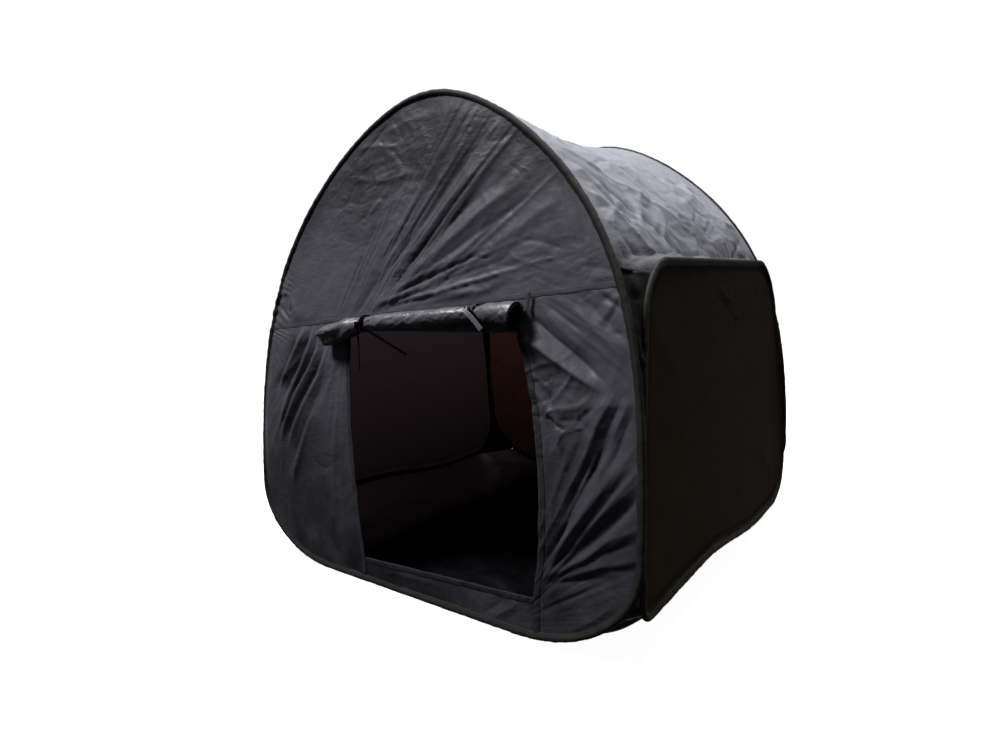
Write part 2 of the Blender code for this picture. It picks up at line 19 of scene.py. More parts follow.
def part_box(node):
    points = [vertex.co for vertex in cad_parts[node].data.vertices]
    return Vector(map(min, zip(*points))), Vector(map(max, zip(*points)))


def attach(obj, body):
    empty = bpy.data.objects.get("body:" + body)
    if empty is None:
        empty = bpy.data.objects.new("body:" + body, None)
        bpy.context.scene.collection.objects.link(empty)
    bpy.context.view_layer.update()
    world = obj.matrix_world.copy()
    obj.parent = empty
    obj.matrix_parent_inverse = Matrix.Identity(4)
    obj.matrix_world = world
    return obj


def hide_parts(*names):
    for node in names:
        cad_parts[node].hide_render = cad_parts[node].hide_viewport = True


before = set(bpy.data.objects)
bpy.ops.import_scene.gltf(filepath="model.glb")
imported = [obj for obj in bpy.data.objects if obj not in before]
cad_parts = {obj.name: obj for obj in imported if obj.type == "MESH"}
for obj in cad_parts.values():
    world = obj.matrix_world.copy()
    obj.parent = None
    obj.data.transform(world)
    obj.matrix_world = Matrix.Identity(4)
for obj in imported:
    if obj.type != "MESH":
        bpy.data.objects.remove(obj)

Array = np.ndarray
Point = tuple[float, float]
Triple = tuple[float, float, float]
Jamb = tuple[float, float, float, float]
Sockets = Mapping[str | int, bpy.types.NodeSocket]

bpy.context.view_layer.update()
LOG = logging.getLogger("play_tent")

CLOTH_WALL = 0.0008
ROLLED_WALL = 0.0006
TUCK = 0.0035
PERIOD = 256
FRONTWARD = np.array([0.0, -1.0, 0.0])


# Smooth fields over a surface


def eased(t: Array | float) -> Array:
    """Runs from 0 to 1 with level ends: 3t squared minus 2t cubed."""
    t = np.clip(t, 0, 1)
    return t * t * (3 - 2 * t)


def wander(x: Array, y: Array, cell: float, seed: int) -> Array:
    """A smooth random height from -1 to 1.

    Random values stand at the corners of square cells, and each point blends the four round it with
    eased weights. One place always gets one height, so pieces that meet share their folds.

    Args:
        x: Places along the first direction, in metres.
        y: Places along the second direction.
        cell: Side of a cell.
        seed: Fixes the random values.

    Returns:
        One height for each point.
    """
    u, v = x / cell, y / cell
    column, row = np.floor(u).astype(int), np.floor(v).astype(int)
    across, up = eased(u - column), eased(v - row)
    values = np.random.default_rng(seed).uniform(-1, 1, (PERIOD, PERIOD))
    row, column, above, beside = (n % PERIOD for n in (row, column, row + 1, column + 1))
    low = values[row, column] * (1 - across) + values[row, beside] * across
    high = values[above, column] * (1 - across) + values[above, beside] * across
    return low * (1 - up) + high * up


def layered(x: Array, y: Array, cell: float, seed: int) -> Array:
    """A wander with a second one on it, of half the cell and half the height."""
    return wander(x, y, cell, seed) + wander(x, y, cell / 2, seed + 1) / 2


def creased(x: Array, y: Array, cell: float, seed: int) -> Array:
    """Thin sharp ridges from 0 to 1, where a layered field crosses zero."""
    return np.exp(-np.abs(layered(x, y, cell, seed)) * 7)


def bell(distance: Array, width: float) -> Array:
    """Falls off from 1 on both sides: the exponential of minus the squared distance over the width."""
    return np.exp(-((distance / width) ** 2))


def crumpled(x: Array, y: Array, cell: float, seed: int) -> Array:
    """Facets of crumpled cloth, as heights in units of a cell.

    Each cell holds a centre at a random place with a random tilt. A point takes the mean of the nine
    tilted planes round it, weighted by the exponential of minus eight times the squared distance.

    Args:
        x: Places along the first direction, in metres.
        y: Places along the second direction.
        cell: Mean width of a facet.
        seed: Fixes the centres and tilts.

    Returns:
        One height for each point.
    """
    u, v = x / cell, y / cell
    column, row = np.floor(u).astype(int), np.floor(v).astype(int)
    made = np.random.default_rng(seed)
    place = made.uniform(0.1, 0.9, (PERIOD, PERIOD, 2))
    tilt = made.normal(0, 1, (PERIOD, PERIOD, 2))
    lift = made.normal(0, 0.25, (PERIOD, PERIOD))
    total, weights = np.zeros_like(x), np.zeros_like(x)
    for step_row in (-1, 0, 1):
        for step_column in (-1, 0, 1):
            r, c = (row + step_row) % PERIOD, (column + step_column) % PERIOD
            du = u - (column + step_column) - place[r, c, 0]
            dv = v - (row + step_row) - place[r, c, 1]
            weight = np.exp(-8 * (du**2 + dv**2))
            total += weight * (tilt[r, c, 0] * du + tilt[r, c, 1] * dv + lift[r, c])
            weights += weight
    return total / weights


def faceted(x: Array, y: Array, cell: float, seed: int, pinch: float = 0.35) -> Array:
    """Flat facets with pinched creases between them, as cloth keeps from its bag.

    A net of triangles is drawn over the cloth and bent by a smooth field. Random heights stand at
    its corners, and each triangle is flat between them. Along its edges, the cloth is pinched up or
    down by its own amount: the exponential of minus the distance, faded out at the corners.

    Args:
        x: Places along the first direction, in metres.
        y: Places along the second direction.
        cell: Side of a triangle.
        seed: Fixes the heights and the bend.
        pinch: Height of the pinched edges against the facets.

    Returns:
        One height for each point, about -1 to 1.
    """
    bent_x = x + 0.7 * cell * wander(x, y, 1.1 * cell, seed + 1)
    bent_y = y + 0.7 * cell * wander(x, y, 1.1 * cell, seed + 2)
    u, v = bent_x / cell - bent_y / cell * 0.577, bent_y / cell * 1.155
    column, row = np.floor(u).astype(int), np.floor(v).astype(int)
    a, b = u - column, v - row
    made = np.random.default_rng(seed)
    heights = made.uniform(-1, 1, (PERIOD, PERIOD))
    upright, level, slant = pinch * made.normal(0, 1, (3, PERIOD, PERIOD))
    row, column, above, beside = (n % PERIOD for n in (row, column, row + 1, column + 1))
    near = heights[row, column] * (1 - a - b) + heights[row, beside] * a + heights[above, column] * b
    far = heights[above, beside] * (a + b - 1)
    far += heights[above, column] * (1 - a) + heights[row, beside] * (1 - b)
    peak = lambda distance: np.exp(-np.abs(distance) / 0.07)
    edges = 4 * b * (1 - b) * (upright[row, column] * peak(a) + upright[row, beside] * peak(1 - a))
    edges += 4 * a * (1 - a) * (level[row, column] * peak(b) + level[above, column] * peak(1 - b))
    edges += 16 * a * b * (1 - a) * (1 - b) * slant[row, column] * peak(1 - a - b)
    return np.where(a + b < 1, near, far) + edges


def pulled(x: Array, y: Array, at: Point, turn: float, seed: int) -> Array:
    """Fine folds that run out from one point, from -1 to 1: sharp crests between round valleys.

    A smooth random field of the direction round the point changes slowly with the logarithm of the
    distance, and its crests are where it crosses zero.

    Args:
        x: Places along the first direction.
        y: Places along the second direction.
        at: The point.
        turn: Size of one step of direction, in degrees.
        seed: Fixes the field.

    Returns:
        One height for each point.
    """
    way = np.arctan2(y - at[1], x - at[0]) / radians(turn)
    run = 1.3 * np.log(np.hypot(x - at[0], y - at[1]) + 0.04)
    field = wander(way, run, 1.0, seed) + 0.45 * wander(way * 2.1, run * 1.6, 1.0, seed + 1)
    return 1 - 2.6 * np.abs(field) ** 0.85


def spot(x: Array, y: Array, at: Point, across: float, up: float, turn: float = 0.0) -> Array:
    """A soft spot that falls off as a bell: 1 at its middle, with its own width, height and turn."""
    lean = radians(turn)
    along = (x - at[0]) * cos(lean) + (y - at[1]) * sin(lean)
    aside = (y - at[1]) * cos(lean) - (x - at[0]) * sin(lean)
    return np.exp(-((along / across) ** 2) - (aside / up) ** 2)


@dataclass(frozen=True)
class Fold:
    """One fold along a route of points; height is out of the cloth, and a negative one goes in."""

    route: tuple[Point, ...]
    width: float
    height: float
    spread: float

    def relief(self, x: Array, y: Array) -> Array:
        """Height of the fold at each point.

        The profile across is the exponential of minus the softened distance over the width, and it
        fades at both ends. The width grows by spread along the route.

        Args:
            x: Places along the first direction.
            y: Places along the second direction.

        Returns:
            One height for each point.
        """
        route = np.array(self.route, float)
        runs = np.linalg.norm(np.diff(route, axis=0), axis=1)
        before = np.concatenate([[0], np.cumsum(runs)])
        nearest, along = np.full(x.shape, np.inf), np.zeros(x.shape)
        for start, step, run, done in zip(route, np.diff(route, axis=0), runs, before):
            t = ((x - start[0]) * step[0] + (y - start[1]) * step[1]) / run**2
            t = np.clip(t, 0, 1)
            away = np.hypot(x - start[0] - t * step[0], y - start[1] - t * step[1])
            closer = away < nearest
            nearest = np.where(closer, away, nearest)
            along = np.where(closer, (done + t * run) / before[-1], along)
        width = self.width * (1 + (self.spread - 1) * along)
        across = np.exp(0.15 - np.sqrt((nearest / width) ** 2 + 0.0225))
        across = np.clip(across - 0.04, 0, None)
        return self.height * across * (0.25 + 0.75 * eased(along / 0.2)) * eased((1 - along) / 0.3)


@dataclass(frozen=True)
class Fan:
    """Folds that spread from one pulled point, between two directions in degrees."""

    at: Point
    first: float
    last: float
    count: int
    reach: float
    height: float
    width: float
    seed: int
    start: float = 0.02

    def folds(self) -> list[Fold]:
        """The folds of the fan, with small random changes of direction, reach and height."""
        made = np.random.default_rng(self.seed)
        folds = []
        for step, angle in enumerate(np.linspace(radians(self.first), radians(self.last), self.count)):
            angle += made.uniform(-0.4, 0.4) * radians(self.last - self.first) / self.count
            reach = self.reach * made.uniform(0.65, 1.05)
            bend = made.uniform(-0.05, 0.05)
            near = (self.at[0] + self.start * cos(angle), self.at[1] + self.start * sin(angle))
            middle = angle + bend
            half = (self.at[0] + reach / 2 * cos(middle), self.at[1] + reach / 2 * sin(middle))
            far = (self.at[0] + reach * cos(angle - bend), self.at[1] + reach * sin(angle - bend))
            height = self.height * made.uniform(0.6, 1.1) * (1 if step % 2 else -0.8)
            folds.append(Fold((near, half, far), self.width, height, 2.2))
        return folds


def folded(x: Array, y: Array, folds: Sequence[Fold]) -> Array:
    """Sum of the heights of all the folds at each point."""
    total = np.zeros_like(x)
    for fold in folds:
        total += fold.relief(x, y)
    return total


def fold_rows(*table: tuple[float, ...]) -> tuple[Fold, ...]:
    """Folds from rows of numbers.

    Args:
        table: Rows with the width in mm, the height in tenths of a mm and the spread, then the two
            places of each point of the route in mm.

    Returns:
        The folds, in metres.
    """
    folds = []
    for width, height, spread, *places in table:
        route = tuple((x / 1000, y / 1000) for x, y in zip(places[::2], places[1::2]))
        folds.append(Fold(route, width / 1000, height / 10000, spread))
    return tuple(folds)


# Outlines and patches


@dataclass(frozen=True)
class Outline:
    """A closed outline in a plane, anticlockwise; a place on it is a vertex number with a fraction."""

    points: Array

    def at(self, places: Array) -> Array:
        """Points at these places, on the straight lines between vertices."""
        places = np.asarray(places, float)
        low = np.floor(places).astype(int)
        part = (places - low)[..., None]
        count = len(self.points)
        return self.points[low % count] * (1 - part) + self.points[(low + 1) % count] * part

    def stretch(self, start: float, end: float, count: int) -> Array:
        """Points evenly spaced along the outline between two places.

        Args:
            start: First place.
            end: Last place, which may pass the first vertex.
            count: How many points.

        Returns:
            Points, one row each.
        """
        return spaced(self.at(np.linspace(start, end, 1500)), count)

    def inset(self, distance: float) -> "Outline":
        """The outline moved inwards by a distance, along the mitre of each vertex."""
        ahead = np.roll(self.points, -1, axis=0) - self.points
        ahead /= np.linalg.norm(ahead, axis=1)[:, None]
        back = np.roll(ahead, 1, axis=0)
        left = np.stack([-ahead[:, 1], ahead[:, 0]], axis=1)
        mitre = left + np.stack([-back[:, 1], back[:, 0]], axis=1)
        mitre /= np.linalg.norm(mitre, axis=1)[:, None]
        return Outline(self.points + mitre * (distance / (mitre * left).sum(axis=1))[:, None])

    def where(self, way: Point, value: float, start: float, end: float) -> float:
        """The place that lies a value along a direction, on a stretch that only nears or leaves it.

        Args:
            way: The direction, by which each point's two numbers are multiplied and summed.
            value: The sum to reach.
            start: First place of the stretch.
            end: Last place of the stretch.

        Returns:
            The place.
        """
        places = np.linspace(start, end, 1500)
        points = self.at(places)
        values = points[:, 1] * way[1] + points[:, 0] * way[0]
        if values[0] > values[-1]:
            values, value = -values, -value
        return float(np.interp(value, values, places))


def run_along(points: Array) -> Array:
    """How far along its line each point lies, from 0 at the first."""
    return np.concatenate([[0], np.cumsum(np.linalg.norm(np.diff(points, axis=0), axis=1))])


def spaced(points: Array, count: int) -> Array:
    """Points evenly spaced along a line through the given ones."""
    run = run_along(points)
    at = np.linspace(0, run[-1], count)
    return np.stack([np.interp(at, run, points[:, i]) for i in range(points.shape[1])], axis=1)


def curved(points: Sequence[Sequence[float]], count: int) -> Array:
    """Evenly spaced points on the Catmull-Rom curve through the given ones.

    Between two points, the curve is half of twice the first, plus t times the chord of its
    neighbours, plus the squared and cubed terms that bring it to the next with the same slope.

    Args:
        points: The points to pass through.
        count: How many points to return.

    Returns:
        Points, one row each.
    """
    route = np.asarray(points, float)
    padded = np.concatenate([[2 * route[0] - route[1]], route, [2 * route[-1] - route[-2]]])
    t = np.linspace(0, 1, 24, endpoint=False)[:, None]
    runs = []
    for a, b, c, d in zip(padded, padded[1:], padded[2:], padded[3:]):
        squared = (2 * a - 5 * b + 4 * c - d) * t**2
        cubed = (3 * b - a - 3 * c + d) * t**3
        runs.append((2 * b + (c - a) * t + squared + cubed) / 2)
    return spaced(np.concatenate([*runs, route[-1:]]), count)


def patch(foot: Array, head: Array, left: Array, right: Array) -> Array:
    """A grid that spans four edges: the two blends of facing edges, less the blend of the corners.

    Args:
        foot: Points along the lower edge, left to right.
        head: Points along the upper edge, left to right.
        left: Points along the left edge, foot to head.
        right: Points along the right edge, foot to head.

    Returns:
        Points in rows from foot to head.
    """
    u = np.linspace(0, 1, len(foot))[None, :, None]
    v = np.linspace(0, 1, len(left))[:, None, None]
    lengthwise = (1 - v) * foot[None] + v * head[None]
    crosswise = (1 - u) * left[:, None] + u * right[:, None]
    corners = (1 - v) * ((1 - u) * foot[0] + u * foot[-1]) + v * ((1 - u) * head[0] + u * head[-1])
    return lengthwise + crosswise - corners


def between(first: Array, last: Array, count: int) -> Array:
    """A grid whose columns run evenly from one line of points to another."""
    t = np.linspace(0, 1, count)[None, :, None]
    return first[:, None] * (1 - t) + last[:, None] * t


def pushed(grid: Array, relief: Array) -> Array:
    """Moves each point of a grid along the surface's normal, the cross product of its two slopes."""
    normal = np.cross(np.gradient(grid, axis=1), np.gradient(grid, axis=0))
    normal /= np.linalg.norm(normal, axis=2)[..., None] + 1e-12
    return grid + normal * relief[..., None]


def nearness(x: Array, y: Array, line: Array) -> Array:
    """Distance from each point to the nearest point of a line."""
    nearest = np.full(x.shape, np.inf)
    for px, py in line:
        nearest = np.minimum(nearest, np.hypot(x - px, y - py))
    return nearest


def metres_over(grid: Array) -> Array:
    """Cloth coordinates in metres: the run along each row and up the middle column."""
    along = np.linalg.norm(np.diff(grid, axis=1), axis=2)
    along = np.concatenate([np.zeros((len(grid), 1)), np.cumsum(along, axis=1)], axis=1)
    along -= along[:, grid.shape[1] // 2][:, None]
    up = run_along(grid[:, grid.shape[1] // 2])
    return np.stack([along, np.broadcast_to(up[:, None], along.shape)], axis=2)


def mesh_of(
    name: str,
    grid: Array,
    cloth: Array | None = None,
    round_columns: bool = False,
    round_rows: bool = False,
    caps: bool = False,
) -> bpy.types.Object:
    """Makes a mesh object of four-sided faces from a grid of points.

    Args:
        name: Name of the object.
        grid: Points, by row and column.
        cloth: Cloth coordinates of the same rows and columns, with one more of each that is round.
        round_columns: The last column joins the first.
        round_rows: The last row joins the first.
        caps: Fills the first and last rows with one face each.

    Returns:
        The object, at the origin.
    """
    rows, columns = grid.shape[:2]
    row, column = np.meshgrid(
        np.arange(rows if round_rows else rows - 1),
        np.arange(columns if round_columns else columns - 1),
        indexing="ij",
    )
    row, column = row.ravel(), column.ravel()
    corner_rows = np.stack([row, row, row + 1, row + 1], axis=1)
    corner_columns = np.stack([column, column + 1, column + 1, column], axis=1)
    corners = (corner_rows % rows) * columns + corner_columns % columns
    faces = corners.ravel()
    starts = np.arange(len(corners)) * 4
    if caps:
        ring = np.arange(columns)
        starts = np.concatenate([starts, [len(faces), len(faces) + columns]])
        faces = np.concatenate([faces, ring[::-1], ring + (rows - 1) * columns])
    mesh = bpy.data.meshes.new(name)
    mesh.vertices.add(rows * columns)
    mesh.vertices.foreach_set("co", grid.reshape(-1).astype(np.float32))
    mesh.loops.add(len(faces))
    mesh.loops.foreach_set("vertex_index", faces.astype(np.int32))
    mesh.polygons.add(len(starts))
    mesh.polygons.foreach_set("loop_start", starts.astype(np.int32))
    if cloth is None:
        cloth = metres_over(grid)
    layer = mesh.uv_layers.new(name="Cloth")
    places = np.zeros((len(faces), 2))
    places[: len(corners) * 4] = cloth[
        np.minimum(corner_rows, cloth.shape[0] - 1), np.minimum(corner_columns, cloth.shape[1] - 1)
    ].reshape(-1, 2)
    layer.data.foreach_set("uv", places.reshape(-1).astype(np.float32))
    mesh.update(calc_edges=True)
    mesh.validate()
    mesh.shade_smooth()
    obj = bpy.data.objects.new(name, mesh)
    bpy.context.scene.collection.objects.link(obj)
    return obj


def swept(
    name: str, line: Array, sides: Array, ups: Array, section: Array, closed: bool = False
) -> bpy.types.Object:
    """A closed section carried along a line: each point is the line's, plus the section's two
    numbers times the side and up directions there.

    Args:
        name: Name of the object.
        line: Points of the line.
        sides: Unit side direction at each point.
        ups: Unit up direction at each point.
        section: Section points, either one ring of pairs or one ring for each point of the line.
        closed: The line's end joins its start.

    Returns:
        The object, with capped ends unless it is closed.
    """
    section = np.broadcast_to(section, (len(line), *section.shape[-2:]))
    grid = line[:, None] + section[..., :1] * sides[:, None] + section[..., 1:] * ups[:, None]
    looped = np.concatenate([line, line[:1]]) if closed else line
    ring = np.concatenate([section[0], section[0][:1]])
    cloth = np.stack(np.meshgrid(run_along(looped), run_along(ring), indexing="ij"), axis=2)
    return mesh_of(name, grid, cloth, round_columns=True, round_rows=closed, caps=not closed)


def framed(line: Array, up: Array, closed: bool = False) -> tuple[Array, Array]:
    """Side and up directions along a line: side is tangent times up, and up is side times tangent.

    Args:
        line: Points of the line.
        up: Wanted up direction, one for all points or one each.
        closed: The line's end joins its start.

    Returns:
        Unit side directions and unit up directions.
    """
    if closed:
        tangent = np.roll(line, -1, axis=0) - np.roll(line, 1, axis=0)
    else:
        tangent = np.gradient(line, axis=0)
    tangent /= np.linalg.norm(tangent, axis=1)[:, None]
    side = np.cross(tangent, np.broadcast_to(up, line.shape))
    side /= np.linalg.norm(side, axis=1)[:, None]
    return side, np.cross(side, tangent)


# Finishes


def linear(hex_colour: str) -> tuple[float, float, float, float]:
    """Linear colour and full alpha of an sRGB hex value."""
    parts = [int(hex_colour[i : i + 2], 16) / 255 for i in (0, 2, 4)]
    red, green, blue = (c / 12.92 if c <= 0.04045 else ((c + 0.055) / 1.055) ** 2.4 for c in parts)
    return red, green, blue, 1.0


def add_node(
    tree: bpy.types.NodeTree,
    kind: str,
    settings: Mapping[str | int, object] | None = None,
    links: Sockets | None = None,
) -> Sockets:
    """Adds a shader node to a tree.

    Args:
        tree: The tree.
        kind: Blender's name of the node, without ShaderNode before it.
        settings: Properties of the node by name, and values of its sockets by name or number.
        links: Sockets that feed its own, by name or number.

    Returns:
        Its output sockets, by name or number.
    """
    node = tree.nodes.new(f"ShaderNode{kind}")
    for name, value in (settings or {}).items():
        if isinstance(name, str) and hasattr(node, name):
            setattr(node, name, value)
        else:
            node.inputs[name].default_value = value
    for name, socket in (links or {}).items():
        tree.links.new(socket, node.inputs[name])
    return node.outputs


def empty_material(name: str) -> tuple[bpy.types.Material, Callable[..., Sockets]]:
    """A new material with an empty node tree, and what adds a node to it."""
    made = bpy.data.materials.new(name)
    made.use_nodes = True
    made.node_tree.nodes.clear()
    return made, partial(add_node, made.node_tree)


@dataclass(frozen=True)
class Taffeta:
    """Woven polyester taffeta, thin and calendered: satin gloss, fine plain weave, many small creases.

    Light passes through it warm brown. That brown is darkened by painted shade where the ground would
    block the light: less near the ground, and none nearer the middle of the tent than lifted_x less
    120 mm. Its threads lie 0.25 mm apart, which no view here resolves, so the weave is drawn at thread_mm.
    """

    name: str
    slot: str
    # colour and worn are the cloth's own; foot is painted shade, or painted light, near the ground
    colour: str
    worn: str
    foot: str
    roughness: float = 0.5
    sheen: float = 0.12
    through: str = "c07a58"
    through_share: float = 0.04
    crease_mm: float = 1.1
    crease_size: float = 0.05
    patchy: float = 1.0
    thread_mm: float = 1.2
    # crown is painted shade or painted light towards the top, between the two heights below
    crown: str = ""
    painted_crown_from: float = 0.66
    painted_crown_to: float = 0.95
    painted_crown_tilt: float = 0.0
    specular: float = 0.5
    lifted_x: float = 0.0
    low_glow: float = 0.35

    def build(self) -> bpy.types.Material:
        """Makes the material.

        Returns:
            The material, which reads object coordinates and the Cloth coordinates in metres.
        """
        made, add = empty_material(self.name)
        place, cloth = add("TexCoord")["Object"], add("UVMap", {"uv_map": "Cloth"})["UV"]
        apart = add("SeparateXYZ", {}, {0: place})
        aside, height = apart["X"], apart["Z"]

        # Colour: the cloth's own colour, with painted shade or painted light at the foot and towards the crown,
        # as each finish sets them, faded in patches.
        cloud = add("TexNoise", {"Scale": 5.0, "Detail": 5.0, "Roughness": 0.6}, {"Vector": place})["Fac"]
        rise = add("MapRange", {"From Max": 0.85}, {"Value": height})[0]
        shades = {"data_type": "RGBA", 6: linear(self.foot), 7: linear(self.colour)}
        low = add("Mix", shades, {"Factor": rise})[2]
        tilted = add("Math", {"operation": "MULTIPLY_ADD", 1: self.painted_crown_tilt}, {0: aside, 2: height})[0]
        top = add("MapRange", {"From Min": self.painted_crown_from, "From Max": self.painted_crown_to}, {"Value": tilted})[0]
        crown = {"data_type": "RGBA", 7: linear(self.crown or self.colour)}
        low = add("Mix", crown, {"Factor": top, 6: low})[2]
        patches = {"From Min": 0.42, "From Max": 0.75, "To Max": 0.5 * self.patchy}
        fleck = add("MapRange", patches, {"Value": cloud})[0]
        colour = add("Mix", {"data_type": "RGBA", 7: linear(self.worn)}, {"Factor": fleck, 6: low})[2]

        # Gloss: rougher and smoother spots a few centimetres wide.
        gloss = add("TexNoise", {"Scale": 35.0, "Detail": 3.0}, {"Vector": place})["Fac"]
        spots = {"To Min": self.roughness - 0.07, "To Max": self.roughness + 0.08}
        roughness = add("MapRange", {"From Min": 0.3, "From Max": 0.7, **spots}, {"Value": gloss})[0]

        # Relief: stored creases and fine crinkles, stronger in patches, over the plain weave.
        bent = add("TexNoise", {"Scale": 9.0, "Detail": 2.0}, {"Vector": place})["Color"]
        strayed = add("VectorMath", {"operation": "MULTIPLY_ADD", 1: (0.03, 0.03, 0.03)}, {0: bent, 2: place})[0]
        ridges = {"noise_type": "RIDGED_MULTIFRACTAL", "Detail": 4.0, "Roughness": 0.5}
        crease = add("TexNoise", {**ridges, "Scale": 0.9 / self.crease_size}, {"Vector": strayed})["Fac"]
        drawn = add("Mapping", {"Scale": (1.0, 1.0, 2.4), "Rotation": (0.0, 0.25, 0.0)}, {"Vector": strayed})[0]
        crinkle = add("TexNoise", {"Scale": 2.6 / self.crease_size, "Detail": 2.5}, {"Vector": drawn})["Fac"]
        both = add("Math", {"operation": "MULTIPLY_ADD", 1: 1.6}, {0: crinkle, 2: crease})[0]
        patch_of = add("TexNoise", {"Scale": 4.5, "Detail": 1.0}, {"Vector": place})["Fac"]
        share = add("MapRange", {"From Min": 0.42, "From Max": 0.60, "To Min": 0.2}, {"Value": patch_of})[0]
        uneven = add("Math", {"operation": "MULTIPLY"}, {0: both, 1: share})[0]
        creases = add("Bump", {"Strength": 0.8, "Distance": self.crease_mm / 1000}, {"Height": uneven})[0]
        thread = {"Scale": 0.314 / (self.thread_mm / 1000), "Distortion": 0.4, "Detail": 0.0}
        threads = [add("TexWave", {"bands_direction": way, **thread}, {"Vector": cloth})["Fac"] for way in "XY"]
        weave = add("Math", {"operation": "MULTIPLY"}, dict(enumerate(threads)))[0]
        normal = add("Bump", {"Strength": 0.35, "Distance": 0.00012}, {"Height": weave, "Normal": creases})[0]

        surface = {
            "IOR": 1.5,
            "Specular IOR Level": self.specular,
            "Sheen Weight": self.sheen,
            "Sheen Roughness": 0.4,
        }
        inputs = {"Base Color": colour, "Roughness": roughness, "Normal": normal}
        shader = add("BsdfPrincipled", surface, inputs)[0]

        # Light from the other side, darkened by painted shade: none near the middle of the tent, less near the
        # ground.
        far = add("Math", {"operation": "ABSOLUTE"}, {0: aside})[0]
        lifted = add("MapRange", {"From Min": self.lifted_x - 0.12, "From Max": self.lifted_x}, {"Value": far})[0]
        sky = add("MapRange", {"To Min": self.low_glow}, {"Value": rise})[0]
        amount = add("Math", {"operation": "MULTIPLY"}, {0: lifted, 1: sky})[0]
        brown = {"data_type": "RGBA", 6: linear("000000"), 7: linear(self.through)}
        glow = add("Mix", brown, {"Factor": amount})[2]
        passing = add("BsdfTranslucent", {}, {"Color": glow, "Normal": normal})[0]
        mixed = add("MixShader", {0: self.through_share}, {1: shader, 2: passing})[0]
        add("OutputMaterial", {}, {"Surface": mixed})
        return made


@dataclass(frozen=True)
class BiasTape:
    """Folded polyester binding, sewn on: matt, ribbed across, with a row of stitches.

    Its ribs lie 0.5 mm apart and are drawn at rib_mm; a stitch is about 3 mm long.
    """

    name: str
    slot: str
    colour: str
    worn: str
    thread: str
    roughness: float = 0.72
    specular: float = 0.14
    rib_mm: float = 1.6
    stitch_at: float = -1.0
    second_at: float = -1.0

    def build(self) -> bpy.types.Material:
        """Makes the material.

        Returns:
            The material, which reads the Cloth coordinates: metres along the tape, then across it.
        """
        made, add = empty_material(self.name)
        place, cloth = add("TexCoord")["Object"], add("UVMap", {"uv_map": "Cloth"})["UV"]
        apart = add("SeparateXYZ", {}, {0: cloth})

        # Colour: faded in small patches, with a dashed row of stitches at one or two places across.
        cloud = add("TexNoise", {"Scale": 22.0, "Detail": 4.0}, {"Vector": place})["Fac"]
        fade = add("MapRange", {"From Min": 0.4, "From Max": 0.7}, {"Value": cloud})[0]
        shades = {"data_type": "RGBA", 6: linear(self.colour), 7: linear(self.worn)}
        tape = add("Mix", shades, {"Factor": fade})[2]
        dash = add("Math", {"operation": "PINGPONG", 1: 0.0019}, {0: apart["X"]})[0]
        lit = add("Math", {"operation": "GREATER_THAN", 1: 0.0005}, {0: dash})[0]
        rows = [
            add("Math", {"operation": "COMPARE", 1: at, 2: 0.0005}, {0: apart["Y"]})[0]
            for at in (self.stitch_at, self.second_at)
        ]
        either = add("Math", {"operation": "MAXIMUM"}, dict(enumerate(rows)))[0]
        stitch = add("Math", {"operation": "MULTIPLY"}, {0: either, 1: lit})[0]
        colour = add("Mix", {"data_type": "RGBA", 7: linear(self.thread)}, {"Factor": stitch, 6: tape})[2]

        # Relief: ribs across the tape, and the stitches that stand on them.
        wave = {"bands_direction": "X", "Scale": 314 / self.rib_mm, "Distortion": 0.6, "Detail": 1.0}
        ribs = add("TexWave", wave, {"Vector": cloth})["Fac"]
        ribbed = add("Bump", {"Strength": 0.5, "Distance": 0.0003}, {"Height": ribs})[0]
        normal = add("Bump", {"Strength": 0.7, "Distance": 0.0006}, {"Height": stitch, "Normal": ribbed})[0]
        surface = {"IOR": 1.5, "Roughness": self.roughness, "Specular IOR Level": self.specular}
        shader = add("BsdfPrincipled", surface, {"Base Color": colour, "Normal": normal})[0]
        add("OutputMaterial", {}, {"Surface": shader})
        return made


